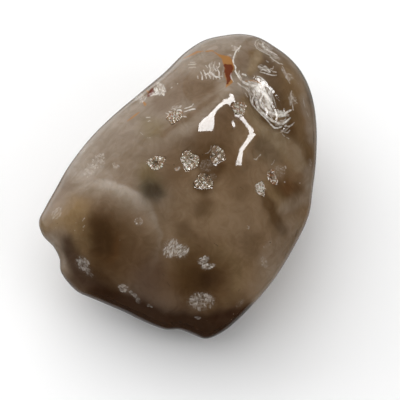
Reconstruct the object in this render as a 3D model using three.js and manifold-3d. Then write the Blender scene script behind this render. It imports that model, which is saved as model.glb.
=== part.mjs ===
// A polished enhydro agate: one palm-sized pebble of smoky chalcedony, lying on a small flat spot.
// Small hollows in its skin were left by the polish, and the deeper ones are lined with quartz druse.
// Millimetres, +Z up. +Y runs along the stone towards its narrower end. The origin is on the surface
// that the stone rests on, under the middle of its box.

import * as THREE from "three";
import { mergeVertices } from "three/addons/utils/BufferGeometryUtils.js";
import Module from "manifold-3d";

const wasm = await Module();
wasm.setup();

// The rounded body, before anything is worn into it.
const HALF_WIDTH = 26;
const HALF_LENGTH = 36.5;
const HALF_HEIGHT = 20;
const REST_CUT = 0.4; // how much of the underside is worn off flat

// The show face looks this way: degrees round from the stone's tail, and above the horizon.
const FACE_TURN = 30;
const FACE_RISE = 62;

// The stone's outline seen from the show face: [across, up] from the middle of the body.
const OUTLINE = [
  [7.1, 33.5], [10.9, 33.8], [14.6, 33.0], [17.9, 31.1], [20.9, 28.9], [23.5, 26.0], [25.4, 22.4],
  [26.6, 18.0], [27.1, 12.5], [26.9, 6.0], [26.1, -0.3], [25.2, -5.7], [22.3, -11.9], [17.7, -19.3],
  [12.7, -25.2], [8.4, -29.4], [5.2, -31.5], [2.7, -32.2], [0.2, -31.3], [-2.6, -30.3], [-5.9, -30.2],
  [-10.2, -28.6], [-15.2, -26.2], [-21.0, -23.7], [-24.9, -21.8], [-28.0, -18.0], [-28.4, -15.0],
  [-29.7, -12.4], [-32.0, -10.0], [-32.9, -7.0], [-31.6, -4.0], [-29.3, 0.2], [-26.6, 5.0],
  [-22.3, 10.7], [-17.5, 15.6], [-11.3, 20.9], [-6.1, 25.3], [-1.7, 29.6], [2.6, 32.4],
];

// Broad flats worn on the body: which way each faces, and its distance from the middle.
const FLATS = [
  { name: "front", facing: [-0.02, -0.3, 0.95], distance: 19.8 },
  { name: "left shoulder", facing: [-0.6, 0.52, 0.61], distance: 22.5 },
  { name: "right flank", facing: [0.74, 0.12, 0.66], distance: 21.5 },
  { name: "lower edge", facing: [-0.12, -0.88, 0.45], distance: 26.5 },
];
const FLAT_SHARPNESS = 9;

// Soft crests and dips in the show face: a line of [across, up] points, its half width and its height.
const SWELLS = [
  { name: "left crest", line: [[1.3, 12.4], [4.2, 13.35], [7.6, 19.3]], spread: 4.1, height: 1.55 },
  {
    name: "right crest",
    line: [[7.6, 19.3], [11.2, 15.7], [13.95, 11.4], [11.4, 8.1], [10.9, 4.9]],
    spread: 1.05,
    height: 0.44,
  },
  { name: "knuckle", line: [[14.0, 11.1]], spread: 2.5, height: 0.6 },
  { name: "fold", line: [[7.3, 14.6]], spread: 2.5, height: -0.93 },
  { name: "saddle", line: [[-9, 20], [2, 22]], spread: 5.5, height: -0.94 },
  { name: "tip dip", line: [[14.5, 22.5], [16.5, 18.5]], spread: 3.4, height: -0.9 },
  { name: "notch", line: [[-29, -15], [-22, -13.5]], spread: 2.6, height: -1.6 },
  { name: "eye dome", line: [[-19, -10]], spread: 7.5, height: 0.6 },
  { name: "heel", line: [[-12, -25.5], [6, -27.5]], spread: 3.0, height: 0.5 },
];

// Low waves all over, as on any tumbled pebble: which way each runs, its length and its height.
const WAVES = [
  { along: [0.8, 0.5, 0.3], length: 27, height: 0.35, start: 0.6 },
  { along: [-0.4, 0.7, 0.6], length: 21, height: 0.28, start: 2.1 },
  { along: [0.3, -0.6, 0.7], length: 16, height: 0.18, start: 4.0 },
];

// Ledges where the old bands come out at the skin: middle, half width and length, turn and step.
const LEDGES = {
  middle: [15.6, 18.6],
  reach: [3.4, 7.2],
  turn: 33,
  steps: 3,
  depth: 1.0,
};

// Shallow frosted pits, worn but not lined with crystals: side of the stone, middle, radius and depth.
const FROSTED_PITS = [
  { side: 1, at: [-20.9, 5.2], radius: 2.2, depth: 0.5 },
  { side: 1, at: [-3.4, -13.1], radius: 1.9, depth: 0.6 },
  { side: 1, at: [3.0, -15.9], radius: 1.7, depth: 0.6 },
  { side: 1, at: [2.4, -24.3], radius: 2.3, depth: 0.6 },
  { side: 1, at: [-23.3, -16.1], radius: 1.8, depth: 0.6 },
  { side: 1, at: [-13.6, -21.6], radius: 1.7, depth: 0.5 },
  { side: 1, at: [6.0, 25.0], radius: 2.2, depth: 0.4 },
  { side: 1, at: [16.8, 30.0], radius: 1.8, depth: 0.4 },
  { side: -1, at: [6, 14], radius: 2.6, depth: 0.7 },
  { side: -1, at: [-9, 11], radius: 2.1, depth: 0.6 },
  { side: -1, at: [-16, -12], radius: 2.4, depth: 0.6 },
];

// Hollows lined with druse: side of the stone, middle, radius, depth and number of crystals.
const HOLLOWS = [
  { name: "ring", side: 1, at: [-7.5, 5.6], radius: 1.8, depth: 1.5, crystals: 6 },
  { name: "middle", side: 1, at: [-0.4, 6.0], radius: 2.0, depth: 1.5, crystals: 7 },
  { name: "middle_right", side: 1, at: [5.4, 7.2], radius: 1.8, depth: 1.5, crystals: 6 },
  { name: "middle_low", side: 1, at: [2.5, 1.6], radius: 1.8, depth: 1.4, crystals: 6 },
  { name: "rusty", side: 1, at: [17.2, 2.6], radius: 1.6, depth: 1.5, crystals: 5 },
  { name: "rusty_low", side: 1, at: [14.6, 0.1], radius: 1.5, depth: 1.3, crystals: 7 },
  { name: "crest", side: 1, at: [10.1, 17.2], radius: 1.5, depth: 1.3, crystals: 7 },
  { name: "shoulder", side: 1, at: [-3.7, 15.3], radius: 1.9, depth: 1.3, crystals: 6 },
  { name: "back_upper", side: -1, at: [2, 20], radius: 2.0, depth: 1.5, crystals: 6 },
  { name: "back_lower", side: -1, at: [-12, -3], radius: 1.8, depth: 1.4, crystals: 6 },
];
const DRUSE_GAP = 0.12; // clear space between a druse and the stone round it
const DRUSE_WALL = 0.45;
const CRYSTAL_LENGTH = 1.0;
const CRYSTAL_RADIUS = 0.34;

// A hollow's section from its floor to above the skin, as shares of its radius and depth.
const PLUG_PROFILE = [[0, -1], [0.55, -0.86], [0.9, -0.4], [1.03, 0.5], [0, 0.7]];
const PLUG_SIDES = 10;

// How fine the skin's facets are: over the whole stone, and at its small features.
const SKIN_ROWS = 12;
const LEDGE_FACET = 0.8;
const PIT_FACET = 1.1;

const rad = THREE.MathUtils.degToRad;

// Directions of the show face: to its right, up along it, and straight out of it.
const OUT = new THREE.Vector3(
  Math.sin(rad(FACE_TURN)) * Math.cos(rad(FACE_RISE)),
  -Math.cos(rad(FACE_TURN)) * Math.cos(rad(FACE_RISE)),
  Math.sin(rad(FACE_RISE)),
);
const ACROSS = new THREE.Vector3(Math.cos(rad(FACE_TURN)), Math.sin(rad(FACE_TURN)), 0);
const UP = OUT.clone().cross(ACROSS);

// A point given as seen from the show face, in the stone's own axes.
function fromFace(across, up, out) {
  return new THREE.Vector3()
    .addScaledVector(ACROSS, across)
    .addScaledVector(UP, up)
    .addScaledVector(OUT, out);
}

// The same point's across, up and out.
function toFace(point) {
  return { across: point.dot(ACROSS), up: point.dot(UP), out: point.dot(OUT) };
}

// The body in any direction from its middle, rounded and then worn on its flats.
function bodyRadius(direction) {
  let worn = Math.hypot(direction.x / HALF_WIDTH, direction.y / HALF_LENGTH, direction.z / HALF_HEIGHT);
  worn **= FLAT_SHARPNESS;
  for (const flat of FLATS) {
    worn += (Math.max(direction.dot(flat.normal), 0) / flat.distance) ** FLAT_SHARPNESS;
  }
  return worn ** (-1 / FLAT_SHARPNESS);
}

// The outline as a smooth closed curve, read as a reach from the middle at any angle.
function outlineRim() {
  const points = OUTLINE.map(([across, up]) => new THREE.Vector3(across, up, 0));
  const curve = new THREE.CatmullRomCurve3(points, true, "catmullrom", 0.5);
  return curve
    .getPoints(OUTLINE.length * 12)
    .slice(1)
    .map((p) => ({ angle: Math.atan2(p.y, p.x), reach: Math.hypot(p.x, p.y) }))
    .sort((a, b) => a.angle - b.angle);
}

// The worn body's own rim, seen from the show face.
function bodyRim() {
  return Array.from({ length: 360 }, (_, i) => {
    const angle = rad(i - 179.5);
    let reach = 0;
    for (let lean = rad(-60); lean < rad(60); lean += rad(2)) {
      const flat = Math.cos(lean);
      const direction = fromFace(Math.cos(angle) * flat, Math.sin(angle) * flat, Math.sin(lean));
      reach = Math.max(reach, bodyRadius(direction) * flat);
    }
    return { angle, reach };
  });
}

function reachAt(rim, angle) {
  const next = rim.findIndex((p) => p.angle > angle);
  const after = rim[next < 0 ? 0 : next];
  const before = rim[next < 0 ? rim.length - 1 : (next + rim.length - 1) % rim.length];
  const span = (after.angle - before.angle + 2 * Math.PI) % (2 * Math.PI);
  const along = (angle - before.angle + 2 * Math.PI) % (2 * Math.PI);
  return THREE.MathUtils.lerp(before.reach, after.reach, span ? along / span : 0);
}

for (const flat of FLATS) flat.normal = fromFace(...flat.facing).normalize();
const OUTLINE_RIM = outlineRim();
const BODY_RIM = bodyRim();

// Distance from a place on the face to a line of points, or to a single point.
function distanceToLine(across, up, line) {
  if (line.length === 1) return Math.hypot(across - line[0][0], up - line[0][1]);
  let nearest = Infinity;
  for (let i = 1; i < line.length; i++) {
    const [ax, ay] = line[i - 1];
    const [dx, dy] = [line[i][0] - ax, line[i][1] - ay];
    const along = THREE.MathUtils.clamp(((across - ax) * dx + (up - ay) * dy) / (dx * dx + dy * dy), 0, 1);
    nearest = Math.min(nearest, Math.hypot(across - ax - along * dx, up - ay - along * dy));
  }
  return nearest;
}

// How far inside the ledges a place lies: 0 at their rim and 1 in the middle.
function ledgeShare(across, up) {
  const [c, s] = [Math.cos(rad(LEDGES.turn)), Math.sin(rad(LEDGES.turn))];
  const [dx, dy] = [across - LEDGES.middle[0], up - LEDGES.middle[1]];
  return 1 - Math.hypot((dx * c + dy * s) / LEDGES.reach[0], (dy * c - dx * s) / LEDGES.reach[1]);
}

// What stands proud of the body, or is sunk into it, at a place on the skin.
function relief(point) {
  const { across, up, out } = toFace(point);
  let height = 0;
  if (out > 0) {
    for (const swell of SWELLS) {
      height += swell.height * Math.exp(-((distanceToLine(across, up, swell.line) / swell.spread) ** 2));
    }
    const share = ledgeShare(across, up);
    if (share > 0) height -= (LEDGES.depth * Math.ceil(share * LEDGES.steps)) / LEDGES.steps;
  }
  for (const pit of FROSTED_PITS) {
    if (pit.side * out <= 0) continue;
    const share = Math.hypot(across - pit.at[0], up - pit.at[1]) / pit.radius;
    if (share < 1) height -= pit.depth * (1 - share ** 2) ** 2;
  }
  for (const wave of WAVES) {
    const phase = new THREE.Vector3(...wave.along).normalize().dot(point) / wave.length;
    height += wave.height * Math.sin(2 * Math.PI * phase + wave.start);
  }
  return height;
}

// The stone's skin in any direction from its middle. Relief fades out at the rim, which is the outline,
// and on the underside, which is worn smooth.
function skinPoint(direction) {
  const { across, up, out } = toFace(direction.clone().multiplyScalar(bodyRadius(direction)));
  const angle = Math.atan2(up, across);
  const bodyReach = reachAt(BODY_RIM, angle);
  const share = Math.min(Math.hypot(across, up) / bodyReach, 1);
  const stretch = 1 + (reachAt(OUTLINE_RIM, angle) / bodyReach - 1) * share ** 2;
  const point = fromFace(across * stretch, up * stretch, out);
  const worn = Math.max(-direction.z, 0) ** 4;
  return point.addScaledVector(direction, relief(point) * (1 - share ** 8) * (1 - worn));
}

// The longest facet edge wanted at a place on the skin.
function facetWanted(point) {
  const { across, up, out } = toFace(point);
  if (out > 0 && ledgeShare(across, up) > -0.1) return LEDGE_FACET;
  const near = FROSTED_PITS.some(
    (pit) => pit.side * out > 0 && Math.hypot(across - pit.at[0], up - pit.at[1]) < pit.radius * 1.15,
  );
  return near ? PIT_FACET : Infinity;
}

// Splits every edge that is too long, and so each facet into two, three or four.
function refine(directions, facets) {
  const middles = new Map();
  const middle = (a, b) => {
    const key = a < b ? `${a} ${b}` : `${b} ${a}`;
    if (!middles.has(key)) {
      const between = directions[a].clone().add(directions[b]).normalize();
      const wanted = facetWanted(skinPoint(between));
      const long = skinPoint(directions[a]).distanceTo(skinPoint(directions[b])) > wanted;
      middles.set(key, long ? directions.push(between) - 1 : -1);
    }
    return middles.get(key);
  };
  return facets.flatMap((facet) => {
    const split = facet.map((corner, i) => middle(corner, facet[(i + 1) % 3]));
    const cuts = split.filter((m) => m >= 0).length;
    if (cuts === 0) return [facet];
    if (cuts === 3) {
      return [
        [facet[0], split[0], split[2]],
        [split[0], facet[1], split[1]],
        [split[2], split[1], facet[2]],
        split,
      ];
    }
    const turn = cuts === 1 ? split.findIndex((m) => m >= 0) : (split.findIndex((m) => m < 0) + 1) % 3;
    const [a, b, c] = [0, 1, 2].map((i) => facet[(i + turn) % 3]);
    const [ab, bc] = [split[turn], split[(turn + 1) % 3]];
    if (cuts === 1) return [[a, ab, c], [ab, b, c]];
    return [[ab, b, bc], [a, ab, bc], [a, bc, c]];
  });
}

// A closed geometry with shared corners.
function joined(geometry) {
  const bare = geometry.clone();
  bare.deleteAttribute("normal");
  bare.deleteAttribute("uv");
  return mergeVertices(bare, 1e-4);
}

function solidOf(geometry) {
  const shared = joined(geometry);
  const vertProperties = new Float32Array(shared.attributes.position.array);
  const triVerts = new Uint32Array(shared.index.array);
  return new wasm.Manifold(new wasm.Mesh({ numProp: 3, vertProperties, triVerts }));
}

function geometryOf(solid) {
  const { vertProperties, triVerts } = solid.getMesh();
  const geometry = new THREE.BufferGeometry();
  geometry.setAttribute("position", new THREE.BufferAttribute(new Float32Array(vertProperties), 3));
  geometry.setIndex(new THREE.BufferAttribute(new Uint32Array(triVerts), 1));
  geometry.computeVertexNormals();
  return geometry;
}

// The whole pebble's skin, closed, before its underside is worn flat.
function pebbleSolid() {
  const ball = joined(new THREE.IcosahedronGeometry(1, SKIN_ROWS));
  const corners = ball.attributes.position;
  const directions = Array.from({ length: corners.count }, (_, i) =>
    new THREE.Vector3().fromBufferAttribute(corners, i).normalize(),
  );
  let facets = [];
  for (let i = 0; i < ball.index.count; i += 3) {
    facets.push([ball.index.getX(i), ball.index.getX(i + 1), ball.index.getX(i + 2)]);
  }
  for (let round = 0; round < 2; round++) facets = refine(directions, facets);
  const skin = new THREE.BufferGeometry().setFromPoints(directions.map(skinPoint));
  skin.setIndex(facets.flat());
  return solidOf(skin);
}

// Everything below the level of the flat spot.
function belowFloor() {
  const size = 4 * HALF_LENGTH;
  return solidOf(new THREE.BoxGeometry(size, size, size).translate(0, 0, restLevel() - size / 2));
}

function restLevel() {
  return REST_CUT - HALF_HEIGHT;
}

// Where the skin lies at a place on the show face, or on the back behind it.
function skinUnder([across, up], side) {
  let direction = fromFace(across, up, side * HALF_HEIGHT).normalize();
  for (let round = 0; round < 40; round++) {
    const found = toFace(skinPoint(direction));
    const nudge = fromFace(across - found.across, up - found.up, 0);
    direction = direction.clone().multiplyScalar(HALF_HEIGHT).addScaledVector(nudge, 0.6).normalize();
  }
  return skinPoint(direction);
}

// The way straight out of the skin there.
function skinNormal([across, up], side) {
  const step = 0.8;
  const here = [
    skinUnder([across - step, up], side),
    skinUnder([across + step, up], side),
    skinUnder([across, up - step], side),
    skinUnder([across, up + step], side),
  ];
  const normal = here[1].sub(here[0]).cross(here[3].sub(here[2])).normalize();
  return normal.multiplyScalar(side);
}

// A lumpy bowl-shaped plug, which a hollow is cut with: +Z points out of the stone.
function plugSolid(radius, depth, seed) {
  const profile = PLUG_PROFILE.map(([out, up]) => new THREE.Vector2(out * radius, up * depth));
  const bowl = joined(new THREE.LatheGeometry(profile, PLUG_SIDES).rotateX(Math.PI / 2));
  const corners = bowl.attributes.position;
  for (let i = 0; i < corners.count; i++) {
    const turn = Math.atan2(corners.getY(i), corners.getX(i));
    const lump = 1 + 0.08 * Math.sin(3 * turn + seed) + 0.05 * Math.cos(2 * turn + 2 * seed);
    corners.setXY(i, corners.getX(i) * lump, corners.getY(i) * lump);
  }
  return solidOf(bowl);
}

// Pointed crystals standing on the wall of a hollow, and leaning in over it.
function crystalSolids(radius, depth, count, seed) {
  const crystals = [];
  for (let i = 0; i < count; i++) {
    const turn = (2 * Math.PI * (i + 0.35 * Math.sin(seed + 3 * i))) / count;
    const lean = i % 2 ? 0.95 : 0.5;
    const wall = new THREE.Vector3(
      Math.sin(lean) * Math.cos(turn) * radius,
      Math.sin(lean) * Math.sin(turn) * radius,
      -Math.cos(lean) * depth,
    );
    const length = CRYSTAL_LENGTH * (0.8 + 0.3 * Math.sin(2 * i + seed));
    const cone = new THREE.ConeGeometry(CRYSTAL_RADIUS * (0.9 + 0.2 * Math.cos(i)), length, 6);
    const aim = wall.clone().multiplyScalar(-1).normalize().lerp(new THREE.Vector3(0, 0, 1), 0.35).normalize();
    cone.applyQuaternion(new THREE.Quaternion().setFromUnitVectors(new THREE.Vector3(0, 1, 0), aim));
    const foot = wall.multiplyScalar(0.9);
    cone.translate(...foot.addScaledVector(aim, length * 0.34).toArray());
    crystals.push(solidOf(cone));
  }
  return crystals;
}

// Places a solid made round the origin in its hollow.
function placed(solid, matrix) {
  return solidOf(geometryOf(solid).applyMatrix4(matrix));
}

function hollowMatrix(hollow) {
  const normal = skinNormal(hollow.at, hollow.side);
  const skin = skinUnder(hollow.at, hollow.side);
  const turn = new THREE.Quaternion().setFromUnitVectors(new THREE.Vector3(0, 0, 1), normal);
  return new THREE.Matrix4().compose(skin, turn, new THREE.Vector3(1, 1, 1));
}

// The druse in one hollow: a thin wall of quartz with crystals on it, cut flush by the polish.
function druseSolid(hollow, seed, pebble) {
  const { radius, depth, crystals } = hollow;
  let druse = plugSolid(radius - DRUSE_GAP, depth - DRUSE_GAP, seed);
  const open = plugSolid(radius - DRUSE_GAP - DRUSE_WALL, depth - DRUSE_GAP - DRUSE_WALL, seed);
  druse = druse.subtract(open);
  for (const crystal of crystalSolids(radius - DRUSE_WALL, depth - DRUSE_WALL, crystals, seed)) {
    druse = druse.add(crystal);
  }
  druse = druse.intersect(plugSolid(radius - DRUSE_GAP, depth - DRUSE_GAP, seed));
  return placed(druse, hollowMatrix(hollow)).intersect(pebble);
}

function finish(name, color, roughness) {
  return new THREE.MeshStandardMaterial({ name, color, roughness, metalness: 0 });
}
const CHALCEDONY = finish("smoky chalcedony", 0x7a6a5b, 0.12);
const QUARTZ = finish("quartz druse", 0xd8d0c2, 0.45);

function build() {
  const pebble = pebbleSolid().subtract(belowFloor());
  let stone = pebble;
  const druses = HOLLOWS.map((hollow, i) => {
    const plug = placed(plugSolid(hollow.radius, hollow.depth, i), hollowMatrix(hollow));
    stone = stone.subtract(plug);
    return druseSolid(hollow, i, pebble);
  });
  const agate = new THREE.Mesh(geometryOf(stone), CHALCEDONY);
  agate.name = "agate";
  const group = new THREE.Group();
  group.add(agate);
  HOLLOWS.forEach((hollow, i) => {
    const druse = new THREE.Mesh(geometryOf(druses[i]), QUARTZ);
    druse.name = `druse_${hollow.name}`;
    group.add(druse);
  });
  const box = new THREE.Box3().setFromObject(agate);
  const middle = box.getCenter(new THREE.Vector3());
  group.position.set(-middle.x, -middle.y, -box.min.z);
  return group;
}

export default build();
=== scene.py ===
"""The looks of a polished enhydro agate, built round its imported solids.

The stone's own sizes are in millimetres, as in the solids, and become metres where a mesh is made.
A place on the show face is (across, up) from the middle of the body.
"""

import logging
import math
from dataclasses import dataclass, field
from enum import Enum

import bpy
import numpy as np
from mathutils import Matrix, Vector


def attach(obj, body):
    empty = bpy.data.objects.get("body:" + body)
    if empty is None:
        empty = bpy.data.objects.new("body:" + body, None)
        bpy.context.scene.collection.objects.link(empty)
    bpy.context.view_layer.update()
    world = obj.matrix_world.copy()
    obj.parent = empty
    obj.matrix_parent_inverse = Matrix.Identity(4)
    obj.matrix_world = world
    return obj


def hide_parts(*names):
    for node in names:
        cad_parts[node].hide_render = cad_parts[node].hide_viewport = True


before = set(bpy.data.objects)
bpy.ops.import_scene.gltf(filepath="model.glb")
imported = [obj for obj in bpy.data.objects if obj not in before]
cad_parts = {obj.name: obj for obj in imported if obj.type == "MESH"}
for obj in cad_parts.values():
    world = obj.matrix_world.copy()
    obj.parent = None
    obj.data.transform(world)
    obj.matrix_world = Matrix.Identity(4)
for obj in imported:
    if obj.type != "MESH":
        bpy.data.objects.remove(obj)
log = logging.getLogger("agate")

MM = 0.001
MM_PER_PIXEL = 0.2154
PHOTO_PIXELS = 400
QUARTZ_INDEX = 1.54
Place = tuple[float, float]
Pair = tuple[np.ndarray, np.ndarray]
Stroke = tuple[tuple[float, float, float], ...]
Colour = tuple[float, float, float]


def away_from(across: np.ndarray, up: np.ndarray, middle: Place) -> np.ndarray:
    """Return how far each place is from a middle."""
    return np.hypot(across - middle[0], up - middle[1])


def turned(across: np.ndarray, up: np.ndarray, middle: Place, degrees: float) -> Pair:
    """Return where each place lies from a middle, in a frame that is turned.

    Args:
        across: Places, across.
        up: Places, up.
        middle: The middle of the frame.
        degrees: How far it is turned, anticlockwise.

    Returns:
        Millimetres along the frame's own two directions.
    """
    c, s = math.cos(math.radians(degrees)), math.sin(math.radians(degrees))
    dx, dy = across - middle[0], up - middle[1]
    return dx * c + dy * s, dy * c - dx * s


@dataclass(frozen=True)
class ShowFace:
    """The side of the stone that is shown, as the direction that it looks in.

    Attributes:
        turn: Degrees round from the stone's broad end.
        rise: Degrees above the horizon.
    """

    turn: float = 30.0
    rise: float = 62.0

    def axes(self) -> np.ndarray:
        """Work out the directions of the face.

        Returns:
            Across, up and out of the face, as rows.
        """
        turn, rise = math.radians(self.turn), math.radians(self.rise)
        flat = math.cos(rise)
        out = np.array([math.sin(turn) * flat, -math.cos(turn) * flat, math.sin(rise)])
        across = np.array([math.cos(turn), math.sin(turn), 0.0])
        return np.array([across, np.cross(out, across), out])


@dataclass(frozen=True)
class Flat:
    """A broad flat worn on the body: the way it faces on the show face, and its distance."""

    facing: tuple[float, float, float]
    distance: float


@dataclass(frozen=True)
class Swell:
    """A soft crest, or a dip if its height is negative, along a line on the show face."""

    line: tuple[Place, ...]
    spread: float
    height: float


@dataclass(frozen=True)
class Wave:
    """A low wave all over the stone: the way it runs, its length, height and start."""

    along: tuple[float, float, float]
    length: float
    height: float
    start: float


@dataclass(frozen=True)
class Ledges:
    """Where the old bands come out at the skin in steps, inside an ellipse."""

    middle: Place = (15.6, 18.6)
    reach: Place = (3.4, 7.2)
    turn: float = 33.0
    steps: int = 3
    depth: float = 1.0

    def share(self, across: np.ndarray, up: np.ndarray) -> np.ndarray:
        """Return how far inside the ledges each place lies, 0 at their rim and 1 in the middle."""
        wide, long = turned(across, up, self.middle, self.turn)
        return 1 - np.hypot(wide / self.reach[0], long / self.reach[1])


@dataclass(frozen=True)
class Pit:
    """A shallow frosted pit: side of the stone, middle, radius and depth."""

    side: int
    at: Place
    radius: float
    depth: float


@dataclass(frozen=True)
class Hollow:
    """A deeper hollow that is lined with druse.

    Attributes:
        name: The druse node in it is named after this.
        side: 1 on the show face and -1 on the back.
        at: Its middle.
        radius: Half its width at the skin.
        depth: How deep its floor lies.
        rust: How far iron has stained its crystals, from 0 to 1.
        pale: How white its crystals are, from 0 to 1.
        milk: Spots (across, up, radius) from its middle where they are whiter.
        gaps: Spots (across, up, radius) from its middle where none stand, down to the dark bed.
    """

    name: str
    side: int
    at: Place
    radius: float
    depth: float
    rust: float
    pale: float
    milk: Stroke = ()
    gaps: Stroke = ()

    def spotted(self, across: float, up: float, spots: Stroke) -> float:
        """Return 1 in the middle of one of the spots, and 0 away from all of them."""
        near = [math.exp(-((math.hypot(across - x, up - y) / radius) ** 4)) for x, y, radius in spots]
        return max(near, default=0.0)


def distance_to_line(across: np.ndarray, up: np.ndarray, line: tuple) -> np.ndarray:
    """Return how far each place is from a line of points, less the line's own half width.

    Args:
        across: Places, across.
        up: Places, up.
        line: Points (across, up) or (across, up, half width). A single point is allowed.

    Returns:
        Millimetres, negative inside a line that has a width.
    """
    points = [(*p, 0.0)[:3] for p in line]
    if len(points) == 1:
        points = points * 2
    nearest = np.full(np.shape(across), np.inf)
    for (ax, ay, aw), (bx, by, bw) in zip(points[:-1], points[1:]):
        dx, dy = bx - ax, by - ay
        span = max(dx * dx + dy * dy, 1e-9)
        along = np.clip(((across - ax) * dx + (up - ay) * dy) / span, 0, 1)
        reach = np.hypot(across - ax - along * dx, up - ay - along * dy)
        nearest = np.minimum(nearest, reach - aw - along * (bw - aw))
    return nearest


OUTLINE: tuple[Place, ...] = (
    (7.1, 33.5), (10.9, 33.8), (14.6, 33.0), (17.9, 31.1), (20.9, 28.9), (23.5, 26.0), (25.4, 22.4),
    (26.6, 18.0), (27.1, 12.5), (26.9, 6.0), (26.1, -0.3), (25.2, -5.7), (22.3, -11.9), (17.7, -19.3),
    (12.7, -25.2), (8.4, -29.4), (5.2, -31.5), (2.7, -32.2), (0.2, -31.3), (-2.6, -30.3), (-5.9, -30.2),
    (-10.2, -28.6), (-15.2, -26.2), (-21.0, -23.7), (-24.9, -21.8), (-28.0, -18.0), (-28.4, -15.0),
    (-29.7, -12.4), (-32.0, -10.0), (-32.9, -7.0), (-31.6, -4.0), (-29.3, 0.2), (-26.6, 5.0),
    (-22.3, 10.7), (-17.5, 15.6), (-11.3, 20.9), (-6.1, 25.3), (-1.7, 29.6), (2.6, 32.4),
)

FLATS = (
    Flat(facing=(-0.02, -0.3, 0.95), distance=19.8),
    Flat(facing=(-0.6, 0.52, 0.61), distance=22.5),
    Flat(facing=(0.74, 0.12, 0.66), distance=21.5),
    Flat(facing=(-0.12, -0.88, 0.45), distance=26.5),
)

SWELLS = (
    Swell(line=((1.3, 12.4), (4.2, 13.35), (7.6, 19.3)), spread=4.1, height=1.55),
    Swell(
        line=((7.6, 19.3), (11.2, 15.7), (13.95, 11.4), (11.4, 8.1), (10.9, 4.9)),
        spread=1.05,
        height=0.44,
    ),
    Swell(line=((14.0, 11.1),), spread=2.5, height=0.6),
    Swell(line=((7.3, 14.6),), spread=2.5, height=-0.93),
    Swell(line=((-9, 20), (2, 22)), spread=5.5, height=-0.94),
    Swell(line=((14.5, 22.5), (16.5, 18.5)), spread=3.4, height=-0.9),
    Swell(line=((-29, -15), (-22, -13.5)), spread=2.6, height=-1.6),
    Swell(line=((-19, -10),), spread=7.5, height=0.6),
    Swell(line=((-12, -25.5), (6, -27.5)), spread=3.0, height=0.5),
)

# Faint ripples of the polish near the crest, too low for the solid, which shape its reflection.
RIPPLES = (
    Swell(line=((5.47, 19.07), (11.84, 12.14)), spread=0.75, height=-0.068),
    Swell(line=((9.05, 14.49), (11.48, 11.13)), spread=1.94, height=0.16),
    Swell(line=((9.54, 7.33), (13.92, 3.21)), spread=1.21, height=0.064),
    Swell(line=((3.39, 15.06), (8.63, 19.27)), spread=1.06, height=0.101),
)

WAVES = (
    Wave(along=(0.8, 0.5, 0.3), length=27, height=0.35, start=0.6),
    Wave(along=(-0.4, 0.7, 0.6), length=21, height=0.28, start=2.1),
    Wave(along=(0.3, -0.6, 0.7), length=16, height=0.18, start=4.0),
)

PITS = (
    Pit(1, (-20.9, 5.2), 2.2, 0.5),
    Pit(1, (-3.4, -13.1), 1.9, 0.6),
    Pit(1, (3.0, -15.9), 1.7, 0.6),
    Pit(1, (2.4, -24.3), 2.3, 0.6),
    Pit(1, (-23.3, -16.1), 1.8, 0.6),
    Pit(1, (-13.6, -21.6), 1.7, 0.5),
    Pit(1, (6.0, 25.0), 2.2, 0.4),
    Pit(1, (16.8, 30.0), 1.8, 0.4),
    Pit(-1, (6, 14), 2.6, 0.7),
    Pit(-1, (-9, 11), 2.1, 0.6),
    Pit(-1, (-16, -12), 2.4, 0.6),
)

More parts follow.
